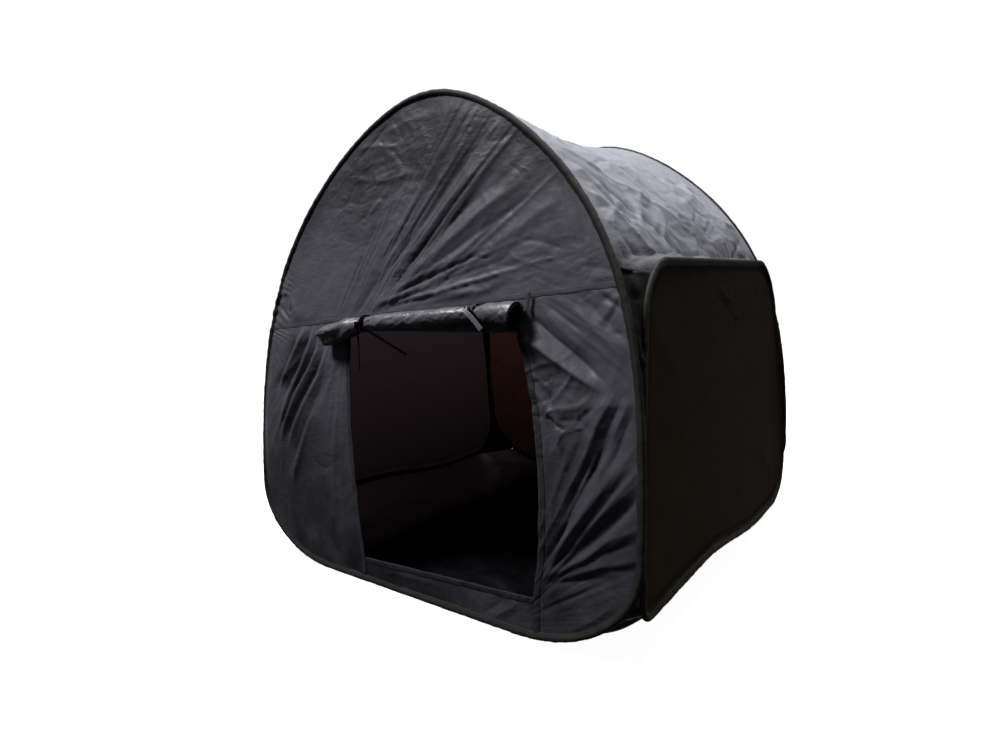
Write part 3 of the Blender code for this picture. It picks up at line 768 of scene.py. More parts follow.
class Finish(Enum):
    """The finishes of the tent, by what they are made of, each with its slot in the record."""

    # Painted shade: darker towards the ground (foot) and towards the top of the gable (crown).
    FRONT = Taffeta(
        "front_taffeta", "front_cloth", "4a4952", "55545e", "0e0e11",
        crown="1f1f24", specular=0.20, sheen=0.03, crease_mm=0.8,
    )
    # Painted shade: near-black below the middle of the roll, the cloth's own colour (crown) above it.
    DOOR = Taffeta(
        "door_taffeta", "front_cloth", "0c0b0e", "3a3940", "0c0b0e",
        crown="4a4951", painted_crown_from=0.590, painted_crown_to=0.612, painted_crown_tilt=-0.08, roughness=0.42, crease_mm=1.6,
    )
    # Painted shade: a near-black inner side for the wound door cloth, which darkens the inside of the roll.
    LINING = Taffeta(
        "door_lining_painted_shade", "front_cloth", "0a090a", "0e0c0d", "0a090a", roughness=0.6, sheen=0.0, specular=0.1
    )
    # Painted light: the walls are lighter towards the ground (foot).
    SIDE = Taffeta(
        "side_taffeta", "side_cloth", "221c16", "29221a", "483d31", roughness=0.6, sheen=0.0,
        through="b2a1a5", through_share=0.36, crease_mm=0.3, patchy=0.3, specular=0.02,
    )
    # Painted shade: darker towards the ground (foot).
    CORNER = Taffeta(
        "corner_taffeta", "side_cloth", "17171a", "1e1e22", "0c0c0e", sheen=0.0, specular=0.15, through_share=0.02
    )
    # Painted light and shade: the pale crown stands in for the sheen of light from above, the dark colour below
    # it for the shade at the eaves; its faded flecks are drawn in the same pale tone.
    ROOF = Taffeta(
        "roof_taffeta", "roof_cloth", "26262a", "7c7c86", "26262a",
        crown="74747d", painted_crown_from=0.706, painted_crown_to=0.765, roughness=0.55, sheen=0.02, specular=0.14,
        through_share=0.02, crease_mm=1.3, patchy=0.6,
    )
    # Painted shade: darker towards the ground (foot).
    REAR = Taffeta(
        "rear_taffeta", "rear_cloth", "2c2a2c", "353335", "201f20", through="b5928a", through_share=0.45
    )
    FLOOR = Taffeta(
        "coated_taffeta", "floor_cloth", "06060b", "09090f", "06060b", roughness=0.5, sheen=0.0,
        through="9b8c8f", through_share=0.55, specular=0.3, lifted_x=0.34, low_glow=0.75,
    )
    SLEEVE = BiasTape(
        "sleeve_binding", "hoop_sleeve", "11130f", "1c1e18", "30322c",
        specular=0.22, stitch_at=0.0205, second_at=0.0265,
    )
    HEM = BiasTape(
        "folded_hem", "front_cloth", "232227", "2b2a2f", "36353b", rib_mm=1.2, stitch_at=0.0025, second_at=0.0115
    )
    SEAM = BiasTape(
        "seam_tape", "front_cloth", "3b3a42", "43424a", "1c1c20",
        specular=0.12, rib_mm=1.2, stitch_at=0.0035, second_at=0.0105,
    )
    TIE = BiasTape("black_ribbon", "tie_tape", "050506", "080809", "080809", specular=0.0, roughness=0.9)
    GREY = BiasTape("grey_ribbon", "pale_tape", "2e2e32", "3a3a3e", "3a3a3e")
    PALE = BiasTape("pale_ribbon", "pale_tape", "6d6b70", "85838a", "85838a")

    def material(self) -> bpy.types.Material:
        """The material of this finish, made once."""
        return bpy.data.materials.get(self.value.name) or self.value.build()


class Held(Enum):
    """How a sheet of cloth is held."""

    STRETCHED = "stretched"
    HUNG = "hung"
    GATHERED = "gathered"
    LAID = "laid"
def dressed(obj: bpy.types.Object, finish: Finish, *nodes: str) -> None:
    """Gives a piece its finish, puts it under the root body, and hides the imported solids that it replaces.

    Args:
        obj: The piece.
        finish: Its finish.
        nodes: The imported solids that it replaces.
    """
    obj.data.materials.append(finish.material())
    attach(obj, "root")
    if nodes:
        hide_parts(*nodes)
    LOG.info("%s: %d faces, %s", obj.name, len(obj.data.polygons), finish.value.name)


def walled(obj: bpy.types.Object, thickness: float = CLOTH_WALL) -> None:
    """Gives an open surface its thickness, half to each side."""
    wall = obj.modifiers.new("Wall", "SOLIDIFY")
    wall.thickness = thickness
    wall.offset = 0.0
    wall.use_rim = True


def sheet_piece(
    name: str,
    taut: Array,
    shaped: Array,
    finish: Finish,
    node: str,
) -> None:
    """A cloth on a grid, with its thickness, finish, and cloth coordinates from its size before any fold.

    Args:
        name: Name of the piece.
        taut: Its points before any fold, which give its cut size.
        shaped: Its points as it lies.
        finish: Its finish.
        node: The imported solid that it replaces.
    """
    obj = mesh_of(name, shaped, metres_over(taut))
    walled(obj)
    dressed(obj, finish, node)


def gusset_pair(piece: str, node: str, end: str, at: int, taut: Array, shaped: Array) -> None:
    """The same gusset at both sides of one end of the tent.

    Args:
        piece: What the pieces are called after their end and side.
        node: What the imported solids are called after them.
        end: Which end, front or rear.
        at: 1 for points given at that end, -1 for points at the other one.
        taut: Points of the right one before any fold.
        shaped: Points of the right one as it lies.
    """
    for side, way in (("right", 1), ("left", -1)):
        flip = (way, at, 1)
        names = f"{end}_{side}_{piece}", f"{end}_{side}_{node}"
        sheet_piece(names[0], taut * flip, shaped * flip, Finish.CORNER, names[1])


# The frame's lines


@dataclass(frozen=True)
class TentLines:
    """The lines that the hoops and cloth edges follow, with the same sizes as the solids."""

    half: float = 0.543
    foot_z: float = 0.007
    top_z: float = 1.093
    spring_z: float = 0.25
    shoulder: float = 0.26
    point: float = 0.39
    foot_rx: float = 0.26
    foot_rz: float = 0.19
    front_y: float = -0.518
    lean: float = 0.125
    height: float = 1.10
    side_half: float = 0.5037
    side_top_z: float = 0.715
    side_top_r: float = 0.12
    side_front_r: float = 0.035
    side_rear_r: float = 0.13
    side_lift_front: float = 0.090
    side_lift_rear: float = 0.042
    side_tip: float = 0.028
    side_open: float = 0.022
    side_open_from: float = 0.35
    seam_z: float = 0.635
    seam_tilt: float = 0.08
    left_jamb: Jamb = (-0.150, -0.190, -0.205, 0.060)
    right_jamb: Jamb = (0.325, 0.365, 0.265, 0.086)
    fine: int = 8

    def face_y(self, z: Array) -> Array:
        """Y of the front face at a height: it leans in with the height to the power of 1.5."""
        return self.front_y + self.lean * (np.clip(z, 0, self.height) / self.height) ** 1.5

    def side_x(self, z: Array) -> Array:
        """X of the side walls at a height: they lean in with its square."""
        return self.half - 0.001 - self.side_tip * (z / self.side_top_z) ** 2

    def front(self, flat: Array, out: Array | float = 0.0, side: int = -1) -> Array:
        """Points across X and Z put on the front face, or on the rear one where side is 1."""
        return np.stack([flat[..., 0], -side * (self.face_y(flat[..., 1]) - out), flat[..., 1]], axis=-1)

    def wall(self, flat: Array, side: int, inwards: Array | float = 0.0) -> Array:
        """Points across Y and Z put on the wall at +X, or at -X where side is -1."""
        return np.stack([side * (self.side_x(flat[..., 1]) - inwards), flat[..., 0], flat[..., 1]], axis=-1)

    def foot_corner(self, turn: Array) -> Array:
        """Points round an arch's low corner, a quarter of an ellipse, at angles from the ground."""
        x = self.half - self.foot_rx * (1 - np.sin(turn))
        return np.stack([x, self.foot_z + self.foot_rz * (1 - np.cos(turn))], axis=-1)

    @property
    def corner(self) -> int:
        """Vertex half-way round an arch's low corner at +X."""
        return 6 * self.fine

    @property
    def corner_end(self) -> int:
        """Vertex at the upper end of that corner."""
        return 9 * self.fine

    @property
    def top(self) -> int:
        """Vertex at the top of an arch."""
        return 24 * self.fine

    @property
    def crown(self) -> float:
        """Vertices from that top down to each end of the crown."""
        return 5.2 * self.fine

    def off_arch(self, x: Array, z: Array) -> Array:
        """Distance of points on a flat wall from the line of its arch."""
        return nearness(x, z, self.arch().stretch(0, 2 * self.top, 260))

    def arch(self) -> Outline:
        """Outline of an arch: a flat foot, elliptic corners, and a cosine arch with full shoulders
        whose half-width is cos(a) times 1 + shoulder u squared - point u to the fourth, u = sin(a).
        """
        flat = np.linspace(0, self.half - self.foot_rx, 3 * self.fine + 1)[:-1]
        foot = np.stack([flat, np.full(len(flat), self.foot_z)], axis=1)
        corner = self.foot_corner(np.linspace(0, pi / 2, 6 * self.fine + 1))
        angle = np.linspace(0, pi / 2, 15 * self.fine)
        u = np.sin(angle)
        x = self.half * np.cos(angle) * (1 + self.shoulder * u**2 - self.point * u**4)
        rise = self.spring_z + (self.top_z - self.spring_z) * u
        arch = np.stack([np.minimum(x, self.half), rise], axis=1)
        arch[-1, 0] = 0
        half = np.concatenate([foot, corner, arch])
        return Outline(np.concatenate([half, half[-2:0:-1] * (-1, 1)]))

    def side(self) -> Outline:
        """Outline of a side hoop across Y and Z: a rounded rectangle whose foot is lifted, more at
        the front, and whose ends follow the arches and draw away from them towards the top.
        """
        ends = ((-1, 0), (1, 0), (1, 1), (-1, 1))
        corners = [np.array((y * self.side_half, z * self.side_top_z)) for y, z in ends]
        radii = (self.side_front_r, self.side_rear_r, self.side_top_r, self.side_top_r)
        edges = (8 * self.fine, 5 * self.fine, 8 * self.fine, 5 * self.fine)
        turn = np.linspace(0, pi / 2, 4 * self.fine + 1)[:, None]
        runs = []
        for i, here in enumerate(corners):
            before, after = corners[i - 1], corners[(i + 1) % 4]
            back = (before - here) / np.linalg.norm(before - here)
            ahead = (after - here) / np.linalg.norm(after - here)
            arc = here + radii[i] * (back + ahead - ahead * np.cos(turn) - back * np.sin(turn))
            start = after - radii[(i + 1) % 4] * ahead
            t = (np.arange(1, edges[i]) / edges[i])[:, None]
            runs += [arc, arc[-1] + t * (start - arc[-1])]
        y, z = np.roll(np.concatenate(runs), -2 * self.fine, axis=0).T
        fall = self.side_lift_front - self.side_lift_rear
        lift = self.side_lift_rear + fall * eased((0.25 - y) / 0.45)
        z = z + (1 - z / self.side_top_z) * lift
        opened = self.side_open * eased((z - self.side_open_from) / (self.side_top_z - self.side_open_from))
        leaned = self.face_y(z) - self.front_y
        return Outline(np.stack([y * (1 - (leaned + opened) / self.side_half), z], axis=1))

    def seam_level(self, x: Array | float) -> Array:
        """Height of the door seam across X."""
        return self.seam_z + self.seam_tilt * np.asarray(x)

    def seam_place(self, ring: Outline, side: int) -> float:
        """Where an outline of the arch meets the door seam, as a place on the half at +X."""
        return ring.where((-self.seam_tilt * side, 1), self.seam_z, self.corner_end, self.top - 1)

    @property
    def jambs(self) -> tuple[tuple[str, Jamb, int], ...]:
        """The door's two edges, with their names and the side of X that each faces."""
        return ("left", self.left_jamb, -1), ("right", self.right_jamb, 1)

    def jamb(self, ends: Jamb, z: Array | float) -> Array:
        """X of a door edge at a height: upright below the sill, then a bend of the second degree."""
        foot, middle, head, sill = ends
        t = np.clip((np.asarray(z) - sill) / (self.seam_z - sill), 0, None)
        return (1 - t) ** 2 * foot + 2 * t * (1 - t) * middle + t**2 * head

    def jamb_top(self, ends: Jamb) -> float:
        """Height at which a door edge meets the seam."""
        return float(self.seam_level(self.jamb(ends, self.seam_level(ends[2]))))


LINES = TentLines()


# The view


@dataclass(frozen=True)
class View:
    """The camera and the plain studio round the tent."""

    focal: float = 634.0
    yaw: float = 0.640
    pitch: float = 0.138
    roll: float = -0.04
    centre: Point = (501.0, 376.0)
    eye: Triple = (0.971, -1.459, 0.676)
    frame_size: Point = (1000.0, 750.0)
    horizon: float = 60.0
    lamps: tuple[tuple[str, Triple, Triple, float, float], ...] = (
        ("key_light", (-2.2, -2.5, 5.5), (0.0, -0.3, 0.55), 1.5, 600),
        ("top_light", (0.7, 0.5, 3.8), (0.3, 0.05, 0.7), 1.0, 150),
        ("side_light", (4.2, -0.9, 1.4), (0.5, 0.0, 0.3), 1.5, 7),
    )

    def camera(self) -> None:
        """Stands the camera at the eye, turned by yaw about Z, down by pitch and round by roll."""
        data = bpy.data.cameras.new("view")
        camera = bpy.data.objects.new("view", data)
        bpy.context.scene.collection.objects.link(camera)
        width, height = self.frame_size
        data.sensor_width = 36.0
        data.lens = self.focal / width * data.sensor_width
        data.shift_x = (width / 2 - self.centre[0]) / width
        data.shift_y = (self.centre[1] - height / 2) / width
        data.clip_start = 0.05
        ahead = Vector((-sin(self.yaw) * cos(self.pitch), cos(self.yaw) * cos(self.pitch), -sin(self.pitch)))
        level = Vector((cos(self.yaw), sin(self.yaw), 0))
        up = level.cross(ahead)
        right = cos(self.roll) * level + sin(self.roll) * up
        up = cos(self.roll) * up - sin(self.roll) * level
        turn = Matrix((right, up, -ahead)).transposed()
        camera.matrix_world = Matrix.Translation(self.eye) @ turn.to_4x4()
        bpy.context.scene.camera = camera

    def lamp(self, name: str, place: Triple, aim: Triple, size: float, power: float) -> None:
        """A square soft light.

        Args:
            name: Name of the light.
            place: Where it stands.
            aim: The point that it faces.
            size: Its side, in metres.
            power: Its power, in watts.
        """
        data = bpy.data.lights.new(name, "AREA")
        data.size = size
        data.energy = power
        lamp = bpy.data.objects.new(name, data)
        lamp.location = place
        lamp.rotation_euler = (Vector(aim) - Vector(place)).to_track_quat("-Z", "Y").to_euler()
        bpy.context.scene.collection.objects.link(lamp)

    def studio(self) -> None:
        """A pale floor to the horizon, a white backdrop far behind the tent, and soft lights.

        The backdrop is that part of the sky whose direction lies within about 45 degrees of the
        camera's own; the rest of the sky is dim, as in a room. The floor glows a little, which keeps
        its shadows pale, and throws no light of its own back on the cloth.
        """
        run = np.linspace(-self.horizon, self.horizon, 25)
        x, y = np.meshgrid(run, run)
        floor = mesh_of("studio_floor", np.stack([x, y, 0 * x - 0.0005], axis=2))
        made, add = empty_material("studio_paper")
        glowing = {
            "Base Color": linear("b4b4b4"),
            "Roughness": 0.9,
            "Emission Color": linear("ffffff"),
            "Emission Strength": 0.965,
        }
        add("OutputMaterial", {}, {"Surface": add("BsdfPrincipled", glowing)[0]})
        floor.data.materials.append(made)
        floor.visible_diffuse = False
        floor.visible_glossy = False
        floor.visible_transmission = False

        world = bpy.data.worlds.new("sky")
        world.use_nodes = True
        world.node_tree.nodes.clear()
        add = partial(add_node, world.node_tree)
        way = add("TexCoord")["Generated"]
        level = (-sin(self.yaw), cos(self.yaw), 0.0)
        behind = add("VectorMath", {"operation": "DOT_PRODUCT", 1: level}, {0: way})["Value"]
        rim = {"From Min": 0.58, "From Max": 0.70, "To Min": 0.05, "To Max": 1.05}
        backdrop = add("MapRange", {"interpolation_type": "SMOOTHSTEP", **rim}, {"Value": behind})[0]
        sky = add("Background", {"Color": linear("fbfcff")}, {"Strength": backdrop})[0]
        add("OutputWorld", {}, {"Surface": sky})
        bpy.context.scene.world = world
        bpy.context.scene.view_settings.view_transform = "Standard"
        for lamp in self.lamps:
            self.lamp(*lamp)


# The door's ties: the cords come first


def rounded(half_width: float, half_wall: float, power: float, count: int = 16) -> Array:
    """A section that is round at power 1 and nearer a rectangle below it.

    Each point is the cosine and sine of its angle, raised to the power with their signs kept.

    Args:
        half_width: Half its width.
        half_wall: Half its thickness.
        power: The power.
        count: How many points.

    Returns:
        Points, one row each.
    """
    angle = np.linspace(0, 2 * pi, count, endpoint=False)
    ring = np.stack([np.cos(angle), np.sin(angle)], axis=1)
    return np.sign(ring) * np.abs(ring) ** power * (half_width, half_wall)


@dataclass(frozen=True)
class Ties:
    """The tapes that hold the rolled door, with their knots and hanging tails.

    A tail is given as steps from its knot's centre: across X, away from the tent, up. The pale end
    of the right tape is given as places from its knot along X, Y and Z.
    """

    knot_r: float = 0.008
    gap: float = 0.0003
    tail_width: float = 0.0055
    tail_wall: float = 0.0016
    tail_points: int = 15
    knot_scale: float = 0.00185
    knot_tape: Point = (0.0033, 0.0024)
    band_r: float = 0.0184
    band_tape: Point = (0.0052, 0.0011)
    strap_half_wall: float = 0.0007
    loop_width: float = 0.0075
    end_width: float = 0.011
    left_long: tuple[Triple, ...] = (
        (0.030, 0.003, -0.010), (0.078, 0.004, -0.030), (0.112, 0.002, -0.046), (0.146, -0.002, -0.0625)
    )
    left_short: tuple[Triple, ...] = (
        (0.003, 0.002, -0.020), (0.003, 0.001, -0.047), (-0.004, -0.004, -0.076), (-0.011, -0.008, -0.105)
    )
    right: tuple[Triple, ...] = (
        (0.022, 0.003, -0.016), (0.041, 0.004, -0.037), (0.047, 0.002, -0.073), (0.0415, -0.003, -0.113)
    )
    end: tuple[Triple, ...] = (
        (-0.003, -0.002, 0.003), (0.004, -0.009, -0.005), (0.020, -0.009, -0.019), (0.037, -0.006, -0.040)
    )

    def centre(self, node: str) -> Array:
        """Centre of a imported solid."""
        low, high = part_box(node)
        return (np.array(low) + np.array(high)) / 2

    def route(self, knot: str, steps: tuple[Triple, ...]) -> Array:
        """Points of a tail's middle line, from its knot's surface to its loose end."""
        moves = np.array(steps) * (1, -1, 1)
        start = moves[0] / np.linalg.norm(moves[0]) * (self.knot_r + self.gap)
        return curved(self.centre(knot) + np.vstack([start, moves]), self.tail_points)

    def tail(self, node: str, knot: str, steps: tuple[Triple, ...], turn: float) -> None:
        """A flat tape tail that turns a little as it hangs, and frays wider at its cut end.

        Args:
            node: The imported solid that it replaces.
            knot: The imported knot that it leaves.
            steps: Its route.
            turn: How far its flat side turns along it, in radians.
        """
        line = curved(self.route(knot, steps), 60)
        side, up = framed(line, FRONTWARD)
        t = np.linspace(0, 1, len(line))[:, None]
        swing = turn * t + 0.25 * np.sin(9 * t)
        sides = side * np.cos(swing) + up * np.sin(swing)
        ups = up * np.cos(swing) - side * np.sin(swing)
        width = 0.85 + 0.15 * eased(t / 0.1) + 0.12 * eased((t - 0.9) / 0.1)
        flat = rounded(self.tail_width / 2, self.tail_wall / 2, 0.6)
        obj = swept(f"{node}_tape", line, sides, ups, flat[None] * np.stack([width, 2 - width], axis=2))
        dressed(obj, Finish.TIE, node)

    def knot(self, node: str, finish: Finish) -> None:
        """An overhand knot of tape: a tube along a trefoil, whose points are sin t + 2 sin 2t,
        cos t - 2 cos 2t and -1.3 sin 3t, pulled small.
        """
        t = np.linspace(0, 2 * pi, 96, endpoint=False)
        across, up = np.sin(t) + 2 * np.sin(2 * t), np.cos(t) - 2 * np.cos(2 * t)
        line = self.centre(node) + np.stack([across, -1.3 * np.sin(3 * t), up], axis=1) * self.knot_scale
        side, up = framed(line, FRONTWARD, closed=True)
        section = rounded(*self.knot_tape, 1, 12)
        dressed(swept(f"{node}_tape", line, side, up, section, closed=True), finish, node)

    def band(self, node: str, finish: Finish) -> None:
        """A band of tape round a waist of the roll: a flat section carried round a circle."""
        centre = self.centre(node)
        turn = np.linspace(0, 2 * pi, 64, endpoint=False)
        radius = self.band_r + 0.0005 * wander(np.cos(turn) * 0.02, np.sin(turn) * 0.02, 0.006, 5)
        lean = 0.09 if centre[0] < 0 else 0.01
        ring = np.stack([lean * radius * np.sin(turn), radius * np.cos(turn), radius * np.sin(turn)], axis=1)
        line = centre + ring
        side, up = framed(line, ring / np.linalg.norm(ring, axis=1)[:, None], closed=True)
        pinch = 1 - 0.35 * bell(turn - 1.35 * pi, 0.5)
        section = rounded(*self.band_tape, 0.5)[None] * np.stack([pinch, 1 + 0 * pinch], axis=1)[:, None]
        dressed(swept(f"{node}_tape", line, side, up, section, closed=True), finish, node)

    def strap(self, name: str, route: Array, width: float, finish: Finish, *nodes: str) -> None:
        """A short flat strap along a route, its wide side to the front.

        Args:
            name: Name of the piece.
            route: Points that it passes through.
            width: Its width.
            finish: Its finish.
            nodes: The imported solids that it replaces.
        """
        line = curved(route, 40)
        side, up = framed(line, FRONTWARD)
        dressed(swept(name, line, side, up, rounded(width / 2, self.strap_half_wall, 0.4)), finish, *nodes)

    def build(self) -> None:
        """Makes the tails, then the knots, bands and straps."""
        self.tail("tie_tail_left_long", "tie_knot_left", self.left_long, 0.9)
        self.tail("tie_tail_left_short", "tie_knot_left", self.left_short, -0.7)
        self.tail("tie_tail_right", "tie_knot_right", self.right, 0.6)
        self.knot("tie_knot_left", Finish.TIE)
        self.knot("tie_knot_right", Finish.GREY)
        self.band("tie_band_left", Finish.TIE)
        self.band("tie_band_right", Finish.GREY)
        low, high = (np.array(v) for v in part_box("tie_loop_right"))
        middle = (low[1] + high[1]) / 2
        hanging = [
            (high[0] - 0.005, middle - 0.001, high[2]),
            ((low[0] + high[0]) / 2, middle - 0.003, (low[2] + high[2]) / 2),
            (low[0] + 0.005, middle - 0.006, low[2]),
        ]
        self.strap("tie_loop_tape", np.array(hanging), self.loop_width, Finish.GREY, "tie_loop_right")
        loose = self.centre("tie_knot_right") + np.array(self.end)
        self.strap("tie_end_tape", loose, self.end_width, Finish.PALE)


# The hoops in their sleeves


@dataclass(frozen=True)
class Hoops:
    """Sprung wire in sewn sleeves: a puckered tube, drawn out to a sewn flange on the cloth's side."""

    across: float = 0.0064
    through: float = 0.0056
    flange: float = 0.0042
    step: float = 0.0045
    around: int = 18

    def sleeve(self, node: str, line: Array, up: Array, gathers: Callable[[Array], Array]) -> None:
        """One hoop's sleeve.

        The radius is that of an ellipse, plus the flange times a high power of the cosine on the
        inner side, plus puckers that follow the sewing.

        Args:
            node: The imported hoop.
            line: Its middle line, closed and evenly spaced.
            up: Direction out of the hoop's plane at each point.
            gathers: Gives how deep the puckers are at each point of the line.
        """
        side, up = framed(line, up, closed=True)
        inner = line.mean(axis=0) - line
        side = side * np.sign((side * inner).sum(axis=1))[:, None]
        angle = np.linspace(0, 2 * pi, self.around, endpoint=False)
        run = np.arange(len(line)) * self.step
        s, a = np.meshgrid(run, angle, indexing="ij")
        pucker = wander(s, a * 0.006, 0.011, 11) + 0.6 * wander(s, a * 0.004, 0.005, 12)
        pucker *= gathers(line)[:, None]
        drawn = np.clip(np.cos(a), 0, 1) ** 7
        ends = np.minimum(eased(s / 0.05), eased((run[-1] - s) / 0.05))
        swell = 1 + pucker * (0.4 + 0.6 * ends) / self.across
        section = np.stack(
            [
                (self.across * swell + self.flange * drawn) * np.cos(a),
                self.through * swell * np.sin(a) * (1 - 0.55 * drawn),
            ],
            axis=2,
        )
        obj = swept(f"{node}_sleeve", line, side, up, section, closed=True)
        dressed(obj, Finish.SLEEVE, node)

    def closed_line(self, points: Array) -> Array:
        """Evenly spaced points round a closed line."""
        looped = np.concatenate([points, points[:1]])
        run = np.linalg.norm(np.diff(looped, axis=0), axis=1).sum()
        return spaced(looped, int(run / self.step) + 1)[:-1]

    def build(self) -> None:
        """Makes the two arches and the two side hoops."""
        arch, side = LINES.arch().points, LINES.side().points
        even = lambda line: np.full(len(line), 0.00055)

        def drawn_left(line: Array) -> Array:
            """Deep gathers where the door seam pulls the left of the front arch."""
            near = bell(line[:, 2] - 0.67, 0.07) * (line[:, 0] < 0)
            return 0.0006 + 0.0019 * near

        for node, points, up, gathers in (
            ("front_hoop", LINES.front(arch), (0.0, -1.0, 0.0), drawn_left),
            ("rear_hoop", LINES.front(arch, side=1), (0.0, 1.0, 0.0), even),
            ("left_hoop", LINES.wall(side, -1), (-1.0, 0.0, 0.0), even),
            ("right_hoop", LINES.wall(side, 1), (1.0, 0.0, 0.0), even),
        ):
            self.sleeve(node, self.closed_line(points), np.array(up), gathers)


# The front


